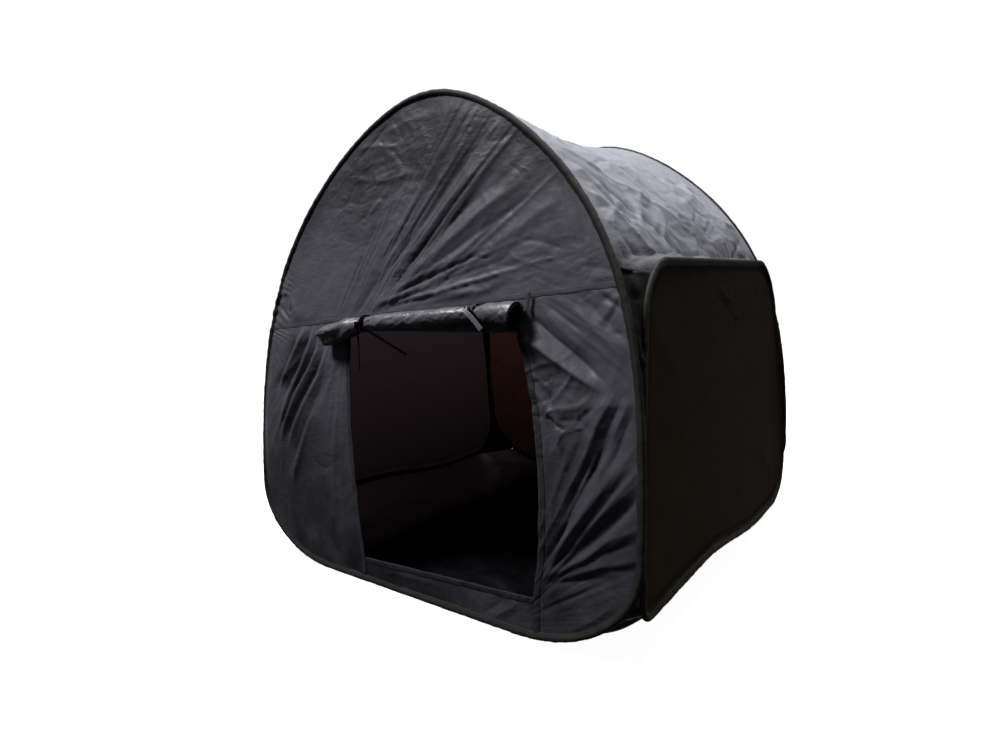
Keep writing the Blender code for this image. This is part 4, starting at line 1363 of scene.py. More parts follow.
@dataclass(frozen=True)
class FrontCloth:
    """The front wall's cloth: gable, the panels beside the door, the sill, seam, hems and flap top.

    Each row of drawn is a patch of fine folds: their height, the middle, size and turn of the patch,
    the point that pulls them, the step of direction between them, and a seed.
    """

    step: float = 0.0036
    hem: float = 0.014
    hem_head: float = 0.567
    hem_stands: Triple = (0.0012, 0.0013, 0.0001)
    drawn: tuple[tuple[float, Point, Point, float, Point, float, int], ...] = (
        (0.0022, (0.03, 0.84), (0.32, 0.085), 47, (-0.40, 0.36), 1.3, 101),
        (0.0010, (0.16, 0.80), (0.26, 0.16), 45, (-0.40, 0.36), 2.0, 103),
        (0.0034, (0.10, 0.696), (0.18, 0.030), 13, (-0.24, 0.615), 3.0, 119),
        (0.0012, (-0.41, 0.42), (0.19, 0.085), 58, (-0.16, 0.76), 3.0, 107),
        (0.0009, (-0.26, 0.38), (0.22, 0.050), 86, (-0.20, 0.95), 1.3, 109),
        (0.0027, (0.44, 0.30), (0.20, 0.09), 62, (0.27, 0.02), 3.6, 113),
        (0.0008, (0.43, 0.60), (0.17, 0.060), -34, (0.18, 0.74), 2.6, 115),
        (0.0006, (0.38, 0.80), (0.18, 0.07), -66, (0.20, 1.60), 1.5, 117),
    )
    fans: tuple[Fan, ...] = (
        Fan((0.335, 0.110), 20, 66, 9, 0.38, 0.0086, 0.0075, seed=4),
        Fan((-0.170, 0.015), 122, 150, 5, 0.25, 0.0032, 0.0070, seed=8),
        Fan((-0.186, 0.640), 62, 98, 5, 0.20, 0.0010, 0.0060, seed=9),
        Fan((0.505, 0.690), 170, 250, 7, 0.11, 0.0024, 0.0045, seed=12),
    )
    folds: tuple[Fold, ...] = fold_rows(
        (17, -64, 1.3, -181, 631, -139, 674, -28, 773, 55, 856, 162, 962, 210, 1010),
        (16, 70, 1.4, -118, 669, -2, 766, 90, 852, 206, 947, 260, 985),
        (14, 66, 1.3, -130, 700, -30, 798, 65, 900, 150, 1000),
        (14, -44, 1.3, -100, 732, -6, 826, 63, 917, 130, 1015),
        (10, 40, 1.4, -120, 740, -30, 838, 40, 935, 95, 1030),
        (15, -54, 1.4, -80, 672, -26, 727, 137, 838, 269, 913),
        (14, 58, 1.4, -50, 672, 10, 722, 165, 822, 300, 890),
        (9, -32, 1.4, -20, 680, 90, 745, 200, 800, 340, 868),
        (8, 44, 1.3, -130, 642, 2, 700, 153, 762),
        (7, -38, 1.3, -100, 638, 30, 688, 170, 742),
        (14, 26, 1.4, 150, 720, 290, 800, 400, 850),
        (6, 28, 1.2, -100, 700, -10, 770, 50, 840),
        (10, 38, 1.2, -478, 750, -440, 680, -385, 600),
        (9, -38, 1.2, -500, 700, -470, 650, -420, 590),
        (5, 18, 1.1, -220, 938, -110, 925, 3, 932),
        (5, 18, 1.1, -205, 1009, -130, 1006, -50, 992),
        (5, -14, 1.1, -250, 895, -180, 880, -80, 893),
        (6, 22, 1.1, -160, 850, -120, 880, -85, 915),
        (6, -18, 1.1, -190, 835, -150, 862, -120, 895),
        (6, 13, 1.1, -235, 990, -190, 1020, -130, 1060),
        (6, -20, 1.1, -210, 975, -150, 1015, -90, 1060),
        (6, 10, 1.1, -120, 1030, -40, 1045, 60, 1040),
        (8, 42, 1.3, -60, 664, 40, 690, 154, 735),
        (8, -36, 1.3, -20, 662, 100, 700, 232, 728),
        (7, 30, 1.3, 20, 672, 130, 690, 250, 700),
        (10, 50, 1.1, -120, 655, 30, 668, 230, 672),
        (6, 20, 1.2, 80, 722, 150, 760, 200, 800),
        (5, -20, 1.1, 274, 767, 330, 757, 381, 737),
        (5, 18, 1.1, 330, 800, 335, 740, 345, 685),
        (7, 16, 1.1, 420, 800, 425, 740, 420, 690),
        (9, -95, 1.0, 290, 632, 350, 587, 397, 555, 442, 522, 480, 500),
        (11, 110, 0.9, 264, 587, 333, 562, 363, 543, 406, 519, 475, 482),
        (5, -42, 1.1, 436, 669, 463, 651, 505, 622),
        (6, 36, 1.1, 449, 674, 475, 656, 510, 636),
        (5, -36, 1.1, 477, 674, 490, 664, 512, 652),
        (5, -34, 1.2, 340, 643, 381, 617, 420, 590),
        (8, 36, 1.2, 330, 634, 378, 593, 434, 553),
        (9, 36, 1.3, 394, 638, 453, 588, 486, 560, 514, 540),
        (8, -34, 1.3, 410, 655, 463, 612, 515, 570),
        (4, 28, 1.0, 290, 512, 334, 534, 363, 535),
        (4, 26, 1.0, 310, 515, 335, 500, 365, 480),
        (4, 30, 1.0, 405, 518, 376, 482, 350, 458),
        (5, 36, 1.2, 306, 497, 341, 461, 367, 429, 375, 396, 386, 340),
        (6, -32, 1.2, 296, 480, 325, 450, 352, 415, 362, 370),
        (5, 30, 1.0, 372, 452, 411, 457, 443, 477),
        (5, -28, 1.0, 372, 431, 419, 437, 450, 465),
        (10, 56, 1.2, 489, 492, 459, 438, 441, 392, 418, 330),
        (9, -62, 1.2, 503, 484, 472, 419, 454, 370, 429, 310),
        (8, 50, 1.2, 514, 475, 491, 426, 473, 381, 449, 310),
        (8, -44, 1.2, 523, 462, 498, 404, 480, 345),
        (5, 26, 1.1, 372, 440, 385, 370, 405, 300),
        (5, -22, 1.1, 330, 500, 360, 460, 368, 400),
        (12, -65, 1.6, 345, 155, 430, 300, 515, 470),
        (10, 58, 1.6, 347, 150, 440, 275, 522, 400),
        (10, -50, 1.5, 345, 140, 440, 225, 528, 315),
        (9, 50, 1.5, 345, 132, 440, 190, 528, 250),
        (9, -36, 1.4, 345, 120, 430, 150, 515, 170),
        (8, 34, 1.2, 400, 40, 450, 75, 500, 120),
        (6, 28, 1.2, 230, 22, 262, 45, 300, 75),
        (6, -22, 1.2, 200, 20, 225, 38, 260, 68),
        (6, 16, 1.1, -100, 40, 0, 46, 100, 50),
        (8, 105, 1.3, -373, 591, -398, 543, -428, 485, -455, 435),
        (8, 110, 1.3, -336, 586, -356, 530, -385, 464, -419, 390, -450, 320),
        (8, 105, 1.3, -309, 575, -330, 508, -369, 441, -407, 371, -445, 300),
        (8, 90, 1.3, -276, 560, -300, 482, -339, 415, -373, 355, -415, 285),
        (10, 56, 1.2, -306, 408, -343, 321, -382, 254, -423, 184),
        (7, -90, 1.3, -350, 590, -379, 525, -412, 462, -445, 400),
        (7, -90, 1.3, -317, 580, -344, 512, -381, 450, -419, 375, -450, 310),
        (7, -84, 1.3, -290, 560, -315, 490, -354, 423, -388, 359, -430, 290),
        (9, -80, 1.2, -400, 580, -430, 520, -460, 460, -480, 400),
        (9, -52, 1.2, -285, 473, -320, 388, -365, 308, -413, 235),
        (5, 16, 1.2, -245, 545, -261, 475, -284, 391),
        (5, 16, 1.2, -228, 545, -236, 476, -246, 412),
        (5, 14, 1.2, -211, 545, -216, 477, -218, 379),
        (7, 24, 1.1, -365, 96, -301, 45, -247, 16),
        (6, 24, 1.1, -311, 116, -250, 61, -205, 16),
        (6, 20, 1.1, -239, 120, -208, 66, -177, 21),
    )

    def edge_gathers(self, x: Array, z: Array) -> Array:
        """Short folds across the left edge of the arch, which fade 70 mm into the cloth."""
        level = bell(z - 0.63, 0.10) * eased((-x - 0.39) / 0.11)
        wave = np.sin(2 * pi * (z + 0.55 * (x + 0.5)) / 0.021 + 5.5 * wander(x, z, 0.040, 40))
        return 0.0040 * level * wave * (0.6 + 0.6 * wander(x, z, 0.05, 41))

    def pulls(self, x: Array, z: Array) -> Array:
        """The fine folds that each pulled point sends out, each kept to its own part of the cloth."""
        total = np.zeros_like(x)
        for height, middle, size, lean, point, turn, seed in self.drawn:
            total += height * spot(x, z, middle, *size, lean) * pulled(x, z, point, turn, seed)
        return total

    def relief(self, x: Array, z: Array) -> Array:
        """Height of the front cloth out of its plane: the folds, pulls, gathers and small crumples."""
        folds = list(self.folds)
        for fan in self.fans:
            folds += fan.folds()
        total = folded(x, z, folds) + self.edge_gathers(x, z) + self.pulls(x, z)
        total += 0.0046 * spot(x, z, (0.375, 0.45), 0.070, 0.070) * faceted(x, z, 0.040, 21, 0.6)
        total += 0.0260 * spot(x, z, (-0.38, 0.36), 0.16, 0.15)
        total += 0.0014 * spot(x, z, (-0.13, 0.90), 0.17, 0.15) * faceted(x * 0.7, z * 1.3, 0.038, 22, 0.8)
        waves = 1 - 2.6 * np.abs(wander(x * 0.32, z + 0.012 * wander(x, z, 0.06, 29), 0.0115, 28)) ** 0.85
        total += 0.0004 * spot(x, z, (-0.13, 0.90), 0.16, 0.15) * waves
        total += 0.0022 * spot(x, z, (0.14, 0.72), 0.24, 0.06) * faceted(x * 0.7, z * 1.3, 0.044, 23, 0.7)
        total += 0.0014 * faceted(x, z, 0.085, 24)
        total += 0.0004 * faceted(x, z, 0.040, 27, 1.0)
        total += 0.0004 * creased(x, z, 0.040, 25)
        sewn = bell(z - LINES.seam_level(x), 0.012)
        return total * (1 - 0.85 * sewn) + 0.0020 * layered(x, z, 0.16, 26)

    def laid(self, flat: Array, out: float = 0.0) -> Array:
        """Puts points on the folded front, level with the sleeve at the arch."""
        x, z = flat[..., 0], flat[..., 1]
        held = 0.35 + 0.65 * eased((LINES.off_arch(x, z) - 0.003) / 0.030)
        return LINES.front(flat, self.relief(x, z) * held + out)

    def panel(self, name: str, flat: Array, node: str) -> None:
        """One piece of the front cloth, from its flat grid."""
        sheet_piece(name, LINES.front(flat), self.laid(flat), Finish.FRONT, node)

    def ragged(self, z: Array, side: int) -> Array:
        """How far the edge of a panel strays across X at a height."""
        return 0.0012 * wander(z, z * 0, 0.03, 60 + side)

    def count(self, length: float) -> int:
        """How many points a length takes."""
        return int(length / self.step) + 2

    def panels(self) -> None:
        """Makes the gable, the two panels and the sill."""
        ring = LINES.arch().inset(TUCK)
        top, crown = LINES.top, LINES.crown
        rise, span = self.count(0.46), self.count(0.98)
        right = ring.stretch(LINES.seam_place(ring, 1), top - crown, rise)
        left = ring.stretch(LINES.seam_place(ring, -1), top - crown, rise) * (-1, 1)
        over = ring.stretch(top - crown, top + crown, span)[::-1]
        foot = np.linspace(left[0], right[0], span)
        self.panel("front_gable_cloth", patch(foot, over, left, right), "front_gable_panel")

        low = ring.points[0, 1]
        for name, ends, side in LINES.jambs:
            start = ring.where((1, 0), side * ends[0], 0, LINES.corner)
            wide, tall = self.count(0.30), self.count(0.66)
            foot = ring.stretch(start, LINES.corner, wide) * (side, 1)
            outer = ring.stretch(LINES.corner, LINES.seam_place(ring, side), tall) * (side, 1)
            z = np.linspace(low, LINES.jamb_top(ends), tall)
            inner = np.stack([LINES.jamb(ends, z), z], axis=1)
            head = np.linspace(inner[-1], outer[-1], wide)
            grid = patch(foot, head, inner, outer)
            edge = np.exp(-np.abs(grid[..., 0] - LINES.jamb(ends, grid[..., 1])) / 0.02)
            grid[..., 0] += self.ragged(grid[..., 1], side) * edge
            grid[..., 1] -= 0.003 * eased((grid[..., 1] - LINES.seam_level(grid[..., 0]) + 0.03) / 0.03)
            self.panel(f"front_{name}_cloth", grid, f"front_{name}_panel")

        left, right = LINES.left_jamb, LINES.right_jamb
        span, tall = self.count(0.48), self.count(0.075)
        foot = np.linspace((left[0], low), (right[0], low), span)
        head = np.linspace((left[0], left[3]), (right[0], right[3]), span)
        edges = (np.linspace(foot[i], head[i], tall) for i in (0, -1))
        self.panel("front_sill_cloth", patch(foot, head, *edges), "front_sill_panel")

    def ribbon(self, name: str, near: Array, far: Array, finish: Finish, node: str, out: Triple) -> None:
        """A strip of tape that follows the folded front between two lines.

        Args:
            name: Name of the piece.
            near: Points along one edge.
            far: Points along the other.
            finish: Its finish.
            node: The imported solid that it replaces.
            out: How far one edge, the middle and the other edge stand off the cloth.
        """
        near, far = spaced(near, self.count(0.9)), spaced(far, self.count(0.9))
        t = np.linspace(0, 1, 7)
        flat = between(near, far, 7)
        first, middle, last = out
        crown = first * (1 - t) + last * t + (middle - (first + last) / 2) * np.sin(pi * t)
        grid = self.laid(flat)
        grid[..., 1] -= crown + 0.0003 * wander(flat[..., 0] + flat[..., 1], flat[..., 1], 0.012, 70)
        wide = np.linalg.norm(far[0] - near[0]) * t
        obj = mesh_of(name, grid, np.stack(np.meshgrid(run_along(near), wide, indexing="ij"), axis=2))
        walled(obj)
        dressed(obj, finish, node)

    def trim(self) -> None:
        """Makes the hems round the doorway and the band on the seam."""
        for name, ends, side in LINES.jambs:
            z = np.linspace(0.018, self.hem_head + 0.03, 200)
            near = np.stack([LINES.jamb(ends, z) + self.ragged(z, side) - side * 0.0006, z], axis=1)
            far = near + (side * self.hem, 0)
            self.ribbon(f"door_hem_{name}_tape", near, far, Finish.HEM, f"door_hem_{name}", self.hem_stands)
        left, right = LINES.left_jamb, LINES.right_jamb
        sill = np.linspace((left[0], left[3] + 0.0006), (right[0], right[3] + 0.0006), 200)
        self.ribbon("sill_hem_tape", sill, sill - (0, self.hem), Finish.HEM, "sill_hem", self.hem_stands)
        arch = LINES.arch()
        ends = [arch.at(LINES.seam_place(arch, side)) for side in (-1, 1)]
        x = np.linspace(-ends[0][0] + 0.004, ends[1][0] - 0.004, 200)
        seam, half = np.stack([x, LINES.seam_level(x)], axis=1), (0, self.hem / 2)
        stands = (-0.0005, 0.0010, -0.0005)
        self.ribbon("front_seam_tape", seam + half, seam - half, Finish.SEAM, "front_seam_band", stands)

    def flap_top(self) -> None:
        """Makes the flat top of the door flap, which drops from the seam to the back of the roll."""
        span, tall = self.count(0.47), 18
        edges = []
        for ends in (LINES.left_jamb, LINES.right_jamb):
            z = np.linspace(0.590, LINES.jamb_top(ends) - 0.003, tall)
            edges.append(np.stack([LINES.jamb(ends, z), z], axis=1))
        flat = between(*edges, span)
        v = np.linspace(0, 1, tall)[:, None]
        grid = self.laid(flat)
        grid[..., 1] -= 0.0025 * (1 - v) * wander(flat[..., 0], flat[..., 1], 0.03, 80)
        taut = LINES.front(flat)
        sheet_piece("door_flap_cloth", taut, grid, Finish.FRONT, "door_flap_top")

    def build(self) -> None:
        """Makes all the front's cloth."""
        self.panels()
        self.trim()
        self.flap_top()


# The rolled door


@dataclass(frozen=True)
class DoorRoll:
    """The door flap rolled up and tied: one cloth wound in a spiral, open at both ends."""

    rest: float = 0.0195
    off: float = 0.0013
    turns: float = 4.6
    core: float = 0.42
    stations: int = 230
    around: int = 40
    ties: tuple[float, float] = (-0.125, 0.190)
    line: tuple[Triple, ...] = (
        (-0.275, 0.580, 0.021), (-0.258, 0.581, 0.0255), (-0.225, 0.587, 0.0268), (-0.180, 0.598, 0.0255),
        (-0.133, 0.6075, 0.017), (-0.117, 0.609, 0.017), (-0.080, 0.612, 0.0205), (-0.020, 0.615, 0.021),
        (0.050, 0.618, 0.022), (0.120, 0.622, 0.022), (0.182, 0.628, 0.017), (0.198, 0.628, 0.017),
        (0.228, 0.628, 0.023), (0.258, 0.626, 0.025), (0.288, 0.622, 0.026),
    )
    flat: Point = (0.565, 0.52)

    def build(self) -> None:
        """Winds the cloth.

        Each station along the roll is a spiral: the radius falls from the outer one to core times
        it as the angle runs through all the turns, and it starts at the back, going down and
        forward. Long folds ripple the outside, and gathers run into each tied waist.
        """
        x, z, radius = curved(self.line, self.stations).T
        rest = np.maximum(radius, self.rest)
        y = LINES.face_y(z) - self.off - rest
        wound = np.linspace(0, 1, int(self.turns * self.around))
        s, w = np.meshgrid(x, wound, indexing="ij")
        angle = -2 * pi * self.turns * w
        outer = radius[:, None] * np.ones_like(w)
        turned = angle * 0.021
        ripple = 1.1 * faceted(s * 0.55, turned, 0.019, 31, 0.6) + 0.4 * pulled(s, turned, (-0.9, 0.4), 1.1, 34)
        ripple += 0.5 * wander(s, turned, 0.045, 35)
        waists = sum(bell(s - at, 0.030) for at in self.ties)
        tied = sum(bell(s - at, 0.009) for at in self.ties)
        gather = np.cos(7 * angle + 4 * wander(s, angle * 0.01, 0.02, 33)) * waists
        left_end = eased((-s - 0.16) / 0.06)
        belly = bell(s + 0.235, 0.035) * np.clip(-np.sin(angle), 0, 1)
        mouth = eased((s - 0.235) / 0.045)
        swell = 1 + (0.085 * ripple + 0.06 * gather) * (1 - tied) + 0.18 * belly + 0.06 * mouth * (w < 0.25)
        swell -= 0.58 * left_end * np.clip(-np.cos(angle - 0.5), 0, 1) ** 5
        hollow = 1 - (1 - self.core) * (1 - 0.72 * mouth) * w ** (1 - 0.3 * left_end)
        r = outer * swell * hollow
        slack = 0.004 * left_end * np.sin(2.2 * angle + 1)
        squashed = 1 - 0.10 * waists - 0.10 * eased((0.16 - np.abs(s - 0.03)) / 0.1)
        along = s + 0.006 * mouth * np.sin(angle) + 0.010 * (s < -0.25) * np.cos(angle) * (w < 0.5)
        away = y[:, None] + r * np.cos(angle)
        grid = np.stack([along, away, z[:, None] + (r + slack) * np.sin(angle) * squashed], axis=2)
        grid[..., 1] = np.minimum(grid[..., 1], LINES.face_y(grid[..., 2]) - 0.0008)
        obj = mesh_of("door_roll_cloth", grid[::-1])
        walled(obj, ROLLED_WALL)
        dressed(obj, Finish.DOOR, "door_roll")
        # The inner side of the wound cloth takes the near-black painted shade.
        obj.data.materials.append(Finish.LINING.material())
        obj.modifiers["Wall"].material_offset = 1


# Walls, roof and floor


@dataclass(frozen=True)
class SideCloth:
    """The taut side walls: a sewn line inside the sleeve, faint pulls and a few stored creases."""

    step: float = 0.0065
    sewn_at: float = 0.019
    folds: tuple[Fold, ...] = fold_rows(
        (6, 18, 1.1, -20, 655, 30, 630, 70, 640),
        (6, -16, 1.1, -50, 640, 0, 615, 40, 605),
        (6, 14, 1.1, 50, 600, 90, 585, 130, 590),
        (16, 12, 1.5, -420, 640, -360, 560, -280, 480),
        (16, 12, 1.5, 400, 620, 350, 540, 280, 460),
        (16, 14, 1.5, -470, 130, -380, 230, -280, 320),
        (16, 14, 1.5, 400, 90, 320, 180, 220, 260),
    )

    def build(self) -> None:
        """Makes both side walls."""
        fine = LINES.fine
        ring = LINES.side().inset(TUCK)
        marks = [0, 12 * fine, 21 * fine, 33 * fine, 42 * fine]
        span, tall = int(1.0 / self.step), int(0.66 / self.step)
        counts = (span, tall, span, tall)
        foot, rear, head, front = (ring.stretch(*edge) for edge in zip(marks, marks[1:], counts))
        flat = patch(foot, head[::-1], front[::-1], rear)
        y, z = flat[..., 0], flat[..., 1]
        inside = nearness(y, z, LINES.side().stretch(0, 42 * fine, 300))
        groove = bell(inside - self.sewn_at, 0.0035)
        pucker = wander(y + z, y - z, 0.012, 50) * bell(inside - self.sewn_at, 0.010)
        for name, side in (("left", -1), ("right", 1)):
            mirrored = y if side > 0 else y + 0.07
            relief = folded(mirrored, z, self.folds) + 0.0010 * layered(mirrored, z, 0.22, 51)
            relief += 0.0003 * creased(mirrored, z, 0.07, 52) - 0.0022 * groove + 0.0010 * pucker
            relief *= 0.2 + 0.8 * eased(inside / 0.02)
            taut, shaped = LINES.wall(flat, side), LINES.wall(flat, side, -relief)
            sheet_piece(f"{name}_side_cloth", taut, shaped, Finish.SIDE, f"{name}_side_panel")


@dataclass(frozen=True)
class RearCloth:
    """The plain rear wall, pulled from the corners of its arch."""

    step: float = 0.0065
    fans: tuple[Fan, ...] = (
        Fan((-0.50, 0.10), 20, 70, 6, 0.42, 0.0036, 0.010, seed=14),
        Fan((0.50, 0.10), 110, 160, 6, 0.42, 0.0036, 0.010, seed=15),
        Fan((0.00, 1.06), 240, 300, 6, 0.38, 0.0030, 0.009, seed=16),
        Fan((-0.50, 0.68), -50, 10, 5, 0.24, 0.0026, 0.008, seed=17),
        Fan((0.50, 0.68), 170, 230, 5, 0.24, 0.0026, 0.008, seed=18),
    )

    def build(self) -> None:
        """Makes the rear wall."""
        ring = LINES.arch().inset(TUCK)
        top, crown = LINES.top, LINES.crown
        span, tall = int(1.04 / self.step), int(1.02 / self.step)
        foot = ring.stretch(-LINES.corner, LINES.corner, span)
        right = ring.stretch(LINES.corner, top - crown, tall)
        head = ring.stretch(top - crown, top + crown, span)[::-1]
        flat = patch(foot, head, right * (-1, 1), right)
        x, z = flat[..., 0], flat[..., 1]
        folds = [fold for fan in self.fans for fold in fan.folds()]
        relief = folded(x, z, folds) + 0.0014 * crumpled(x, z, 0.07, 54) + 0.0025 * layered(x, z, 0.2, 55)
        relief *= 0.25 + 0.75 * eased(LINES.off_arch(x, z) / 0.04)
        taut, shaped = LINES.front(flat, side=1), LINES.front(flat, relief, side=1)
        sheet_piece("rear_cloth", taut, shaped, Finish.REAR, "rear_panel")


@dataclass(frozen=True)
class RoofCloth:
    """The slack roof over both arches: crumpled facets, long pulls and rolls of cloth at the eaves."""

    step: float = 0.0058
    join_z: float = 0.70
    sag: float = 0.043
    hold: int = 5
    folds: tuple[Fold, ...] = fold_rows(
        (12, 52, 1.5, 350, -380, 420, -200, 550, 20),
        (10, -50, 1.4, 400, -380, 500, -250, 630, -120),
        (9, 48, 1.3, 500, -390, 600, -300, 720, -220),
        (8, -44, 1.2, 580, -400, 660, -330, 740, -280),
        (14, 42, 1.4, 160, -370, 240, -100, 280, 200),
        (10, -38, 1.3, 200, -370, 300, -120, 380, 120),
        (14, 50, 1.4, 330, 360, 420, 200, 470, 0),
        (10, -46, 1.2, 300, 100, 350, 200, 330, 340),
        (9, 60, 1.1, 600, 370, 660, 260, 740, 240),
        (8, -60, 1.1, 560, 370, 610, 220, 730, 180),
        (9, 48, 1.2, 640, -140, 670, 0, 660, 120),
        (8, -40, 1.2, 700, -180, 720, -40, 700, 100),
        (16, 30, 1.2, 50, -360, 80, -50, 50, 300),
        (13, 42, 1.4, -160, -360, -250, -50, -300, 250),
        (12, -48, 1.4, -380, -360, -440, -150, -580, 50),
        (10, 50, 1.3, -520, 380, -600, 250, -700, 180),
        (12, 44, 1.4, -340, 360, -420, 150, -500, -20),
        (9, 44, 1.2, -660, -200, -700, 0, -680, 150),
    )

    def relief(self, s: Array, y: Array) -> Array:
        """Height out of the roof, from the run over it from its middle and from Y."""
        total = 1.25 * folded(s, y, self.folds)
        total += 0.0105 * faceted(s, y, 0.140, 71, 0.3)
        total += 0.0042 * faceted(s + 0.3 * y, y - 0.2 * s, 0.072, 72, 0.5)
        low = eased((np.abs(s) - 0.50) / 0.18)
        total += 0.0015 * low * np.sin(2 * pi * np.abs(s) / 0.045 + 3 * wander(s, y, 0.09, 63))
        total += 0.0022 * creased(s, y, 0.05, 64)
        return total

    def build(self) -> None:
        """Makes the roof: straight from arch to arch, drawn to the eaves, sagging in the middle."""
        arch, fine = LINES.arch(), LINES.fine
        span, tall = int(1.62 / self.step), int(0.88 / self.step)
        start = arch.where((0, 1), self.join_z, LINES.corner_end, LINES.top - 1)
        over = LINES.front(arch.stretch(start, 2 * LINES.top - start, 900)[::-1]) + (0, 0.0035, 0.0015)
        eave = LINES.side().inset(-0.004).stretch(21 * fine, 33 * fine, tall)[::-1]
        left, right = LINES.wall(eave, -1), LINES.wall(eave, 1)
        front = spaced(np.concatenate([left[:1], over, right[:1]]), span)
        rear = spaced(np.concatenate([left[-1:], over * (1, -1, 1), right[-1:]]), span)
        u = np.linspace(0, 1, span)[None, :, None]
        v = np.linspace(0, 1, tall)[:, None, None]
        grid = (1 - v) * front[None] + v * rear[None]
        to_left, to_right = left[:, None] - grid[:, :1], right[:, None] - grid[:, -1:]
        grid = grid + (1 - u) ** self.hold * to_left + u**self.hold * to_right
        grid[..., 2] -= self.sag * 4 * v[..., 0] * (1 - v[..., 0]) * np.sin(pi * u[..., 0]) ** 2
        run = metres_over(grid)[..., 0]
        front_rim, rear_rim = v[..., 0] * 0.88, (1 - v[..., 0]) * 0.88
        low = np.minimum(u, 1 - u)[..., 0] * 1.62
        held = eased((front_rim - 0.003) / 0.045) * eased((rear_rim - 0.003) / 0.130)
        held = held * (0.10 + 0.90 * eased((low - 0.004) / 0.07))
        held *= 1 - 0.45 * bell(run, 0.30)
        shaped = pushed(grid, self.relief(run, grid[..., 1]) * held)
        sheet_piece("roof_cloth", grid, shaped, Finish.ROOF, "roof_sheet")


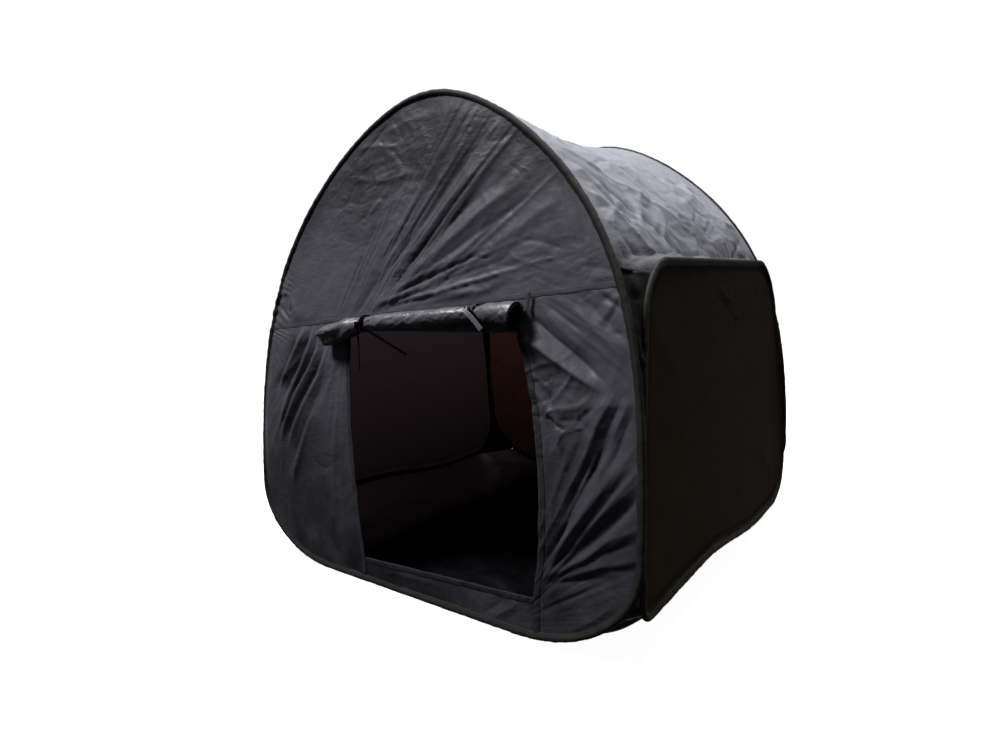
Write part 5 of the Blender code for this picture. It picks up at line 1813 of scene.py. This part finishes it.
@dataclass(frozen=True)
class FloorCloth:
    """The ground sheet, flat on the ground with its side margins turned up to the side hoops."""

    turn_from: float = 0.74
    cut: float = 0.09
    cut_angle: float = pi * 2 / 9
    seat: float = 0.0077
    toes: tuple[tuple[str, int, Point, float], ...] = (
        ("front", 1, (2.45, -1.3), 0.39 * pi),
        ("rear", -1, (9.6, 13.9), 0.46 * pi),
    )

    def rim(self, along: Array, seat: float) -> Array:
        """Points of the right edge from the front at 0 to the rear at 1: cut corners at the arches'
        feet, eased into the low run of the side hoop.
        """
        y = (0.518 - seat) * (2 * np.asarray(along) - 1)
        low = LINES.side().stretch(2 * LINES.fine, 10 * LINES.fine, 200)
        hoop_z = np.interp(y, low[:, 0], low[:, 1])
        cut_x, cut_z = LINES.foot_corner(np.array([self.cut_angle]))[0] - (0, LINES.foot_z)
        whole = eased(np.minimum(along, 1 - along) / self.cut)
        side_x = LINES.side_x(hoop_z) - seat
        return np.stack([cut_x + (side_x - cut_x) * whole, y, cut_z + (hoop_z - cut_z) * whole], axis=-1)

    def sheet(self) -> None:
        """Makes the ground sheet, with shallow wrinkles that never go below the ground."""
        u, v = np.meshgrid(np.linspace(-1, 1, 150), np.linspace(0, 1, 150))
        rim = self.rim(v, 0.003)
        turn = np.clip((np.abs(u) - self.turn_from) / (1 - self.turn_from), 0, 1) ** 2
        foot = np.clip(1 - (LINES.half - np.abs(u * rim[..., 0])) / LINES.foot_rx, 0, 1)
        foot = LINES.foot_z + LINES.foot_rz * (1 - np.sqrt(1 - foot**2)) - 0.003
        ends = eased(1 - np.minimum(v, 1 - v) / 0.07)
        rise = turn * rim[..., 2] * (1 - ends) + np.maximum(foot, turn * rim[..., 2]) * ends
        taut = np.stack([u * rim[..., 0], rim[..., 1], rise + 0.0005], axis=-1)
        x, y = taut[..., 0], taut[..., 1]
        fans = (
            Fan((0.35, -0.46), 95, 165, 7, 0.55, 0.0050, 0.012, seed=24),
            Fan((-0.20, -0.46), 40, 120, 5, 0.45, 0.0040, 0.012, seed=25),
            Fan((-0.45, 0.45), 280, 340, 5, 0.50, 0.0040, 0.012, seed=26),
        )
        folds = [fold for fan in fans for fold in fan.folds()]
        lift = folded(x, y, folds) + 0.0035 * crumpled(x, y, 0.12, 65) + 0.0030 * layered(x, y, 0.2, 66)
        inner = eased(np.minimum(np.minimum(v, 1 - v) / 0.08, (1 - np.abs(u)) / 0.10))
        shaped = taut.copy()
        shaped[..., 2] += np.clip(lift + 0.003, 0, None) * inner
        sheet_piece("floor_cloth", taut, shaped, Finish.FLOOR, "floor_sheet")

    def foot_gussets(self) -> None:
        """Makes the four low corner pieces between the ground sheet, the arches and the side hoops."""
        rows, columns = 28, 16
        for end, at, toe, top in self.toes:
            turn = np.linspace(self.cut_angle, top, rows)
            inner = (LINES.front(LINES.foot_corner(turn)) + (0, 0.003, 0)) * (1, at, 1)
            outer = LINES.wall(LINES.side().at(np.linspace(*toe, rows) * LINES.fine), 1, 0.003)
            outer[:, 2] += np.linspace(LINES.foot_z, 0, rows)
            along = np.linspace(0, self.cut, columns)
            foot = self.rim(along if at > 0 else 1 - along, 0.004) + (0, 0, 0.006)
            taut = patch(foot, np.linspace(inner[-1], outer[-1], columns), inner, outer)
            relief = 0.0030 * crumpled(taut[..., 1], taut[..., 2], 0.03, 67)
            edge = np.sin(pi * np.linspace(0, 1, columns))[None] * np.sin(pi * np.linspace(0, 1, rows))[:, None]
            shaped = pushed(taut, relief * np.clip(edge, 0, 1))
            gusset_pair("foot_cloth", "foot_gusset", end, 1, taut, shaped)

    def build(self) -> None:
        """Makes the ground sheet and its corner pieces."""
        self.sheet()
        self.foot_gussets()


@dataclass(frozen=True)
class CornerCloth:
    """The narrow upright pieces between an arch and a side hoop, wider towards the roof."""

    low_z: float = 0.40
    join_z: float = 0.70
    rows: int = 70
    columns: int = 14

    def build(self) -> None:
        """Makes the four pieces, creased down from the roof's corner."""
        arch, side, fine = LINES.arch(), LINES.side(), LINES.fine
        corner = side.at(np.array([33.0 * fine]))[0, 1]
        heights = np.linspace(0, 1, self.rows)
        edges = []
        for ring, first, last, top in (
            (arch, LINES.corner_end, LINES.top - 1, self.join_z + 0.004),
            (side, 33 * fine, 40 * fine, corner + 0.006),
        ):
            levels = self.low_z + heights * (top - self.low_z)
            edges.append(np.stack([ring.at(ring.where((0, 1), z, first, last)) for z in levels]))
        inner = LINES.front(edges[0]) + (0, 0.003, 0)
        outer = LINES.wall(edges[1], 1)
        taut = between(inner, outer, self.columns)
        t = np.linspace(0, 1, self.columns)[None]
        across = t * 0.05 + 0 * heights[:, None]
        relief = 0.004 * np.sin(2 * pi * (across * 18 + heights[:, None] * 1.6)) * eased(heights[:, None] / 0.5)
        relief += 0.003 * crumpled(across, heights[:, None] * 0.3 + 0 * across, 0.03, 68)
        shaped = pushed(taut, relief * np.sin(pi * t))
        for end, at in (("front", 1), ("rear", -1)):
            gusset_pair("corner_cloth", "gusset", end, at, taut, shaped)


def main() -> None:
    """Builds the view, then every piece of the tent."""
    logging.basicConfig(level=logging.INFO, format="%(name)s: %(message)s")
    view = View()
    view.camera()
    view.studio()
    for part in (Ties, Hoops, FrontCloth, DoorRoll, SideCloth, RearCloth, RoofCloth, FloorCloth, CornerCloth):
        LOG.info("building %s", part.__name__)
        part().build()


if __name__ == "__main__":
    main()
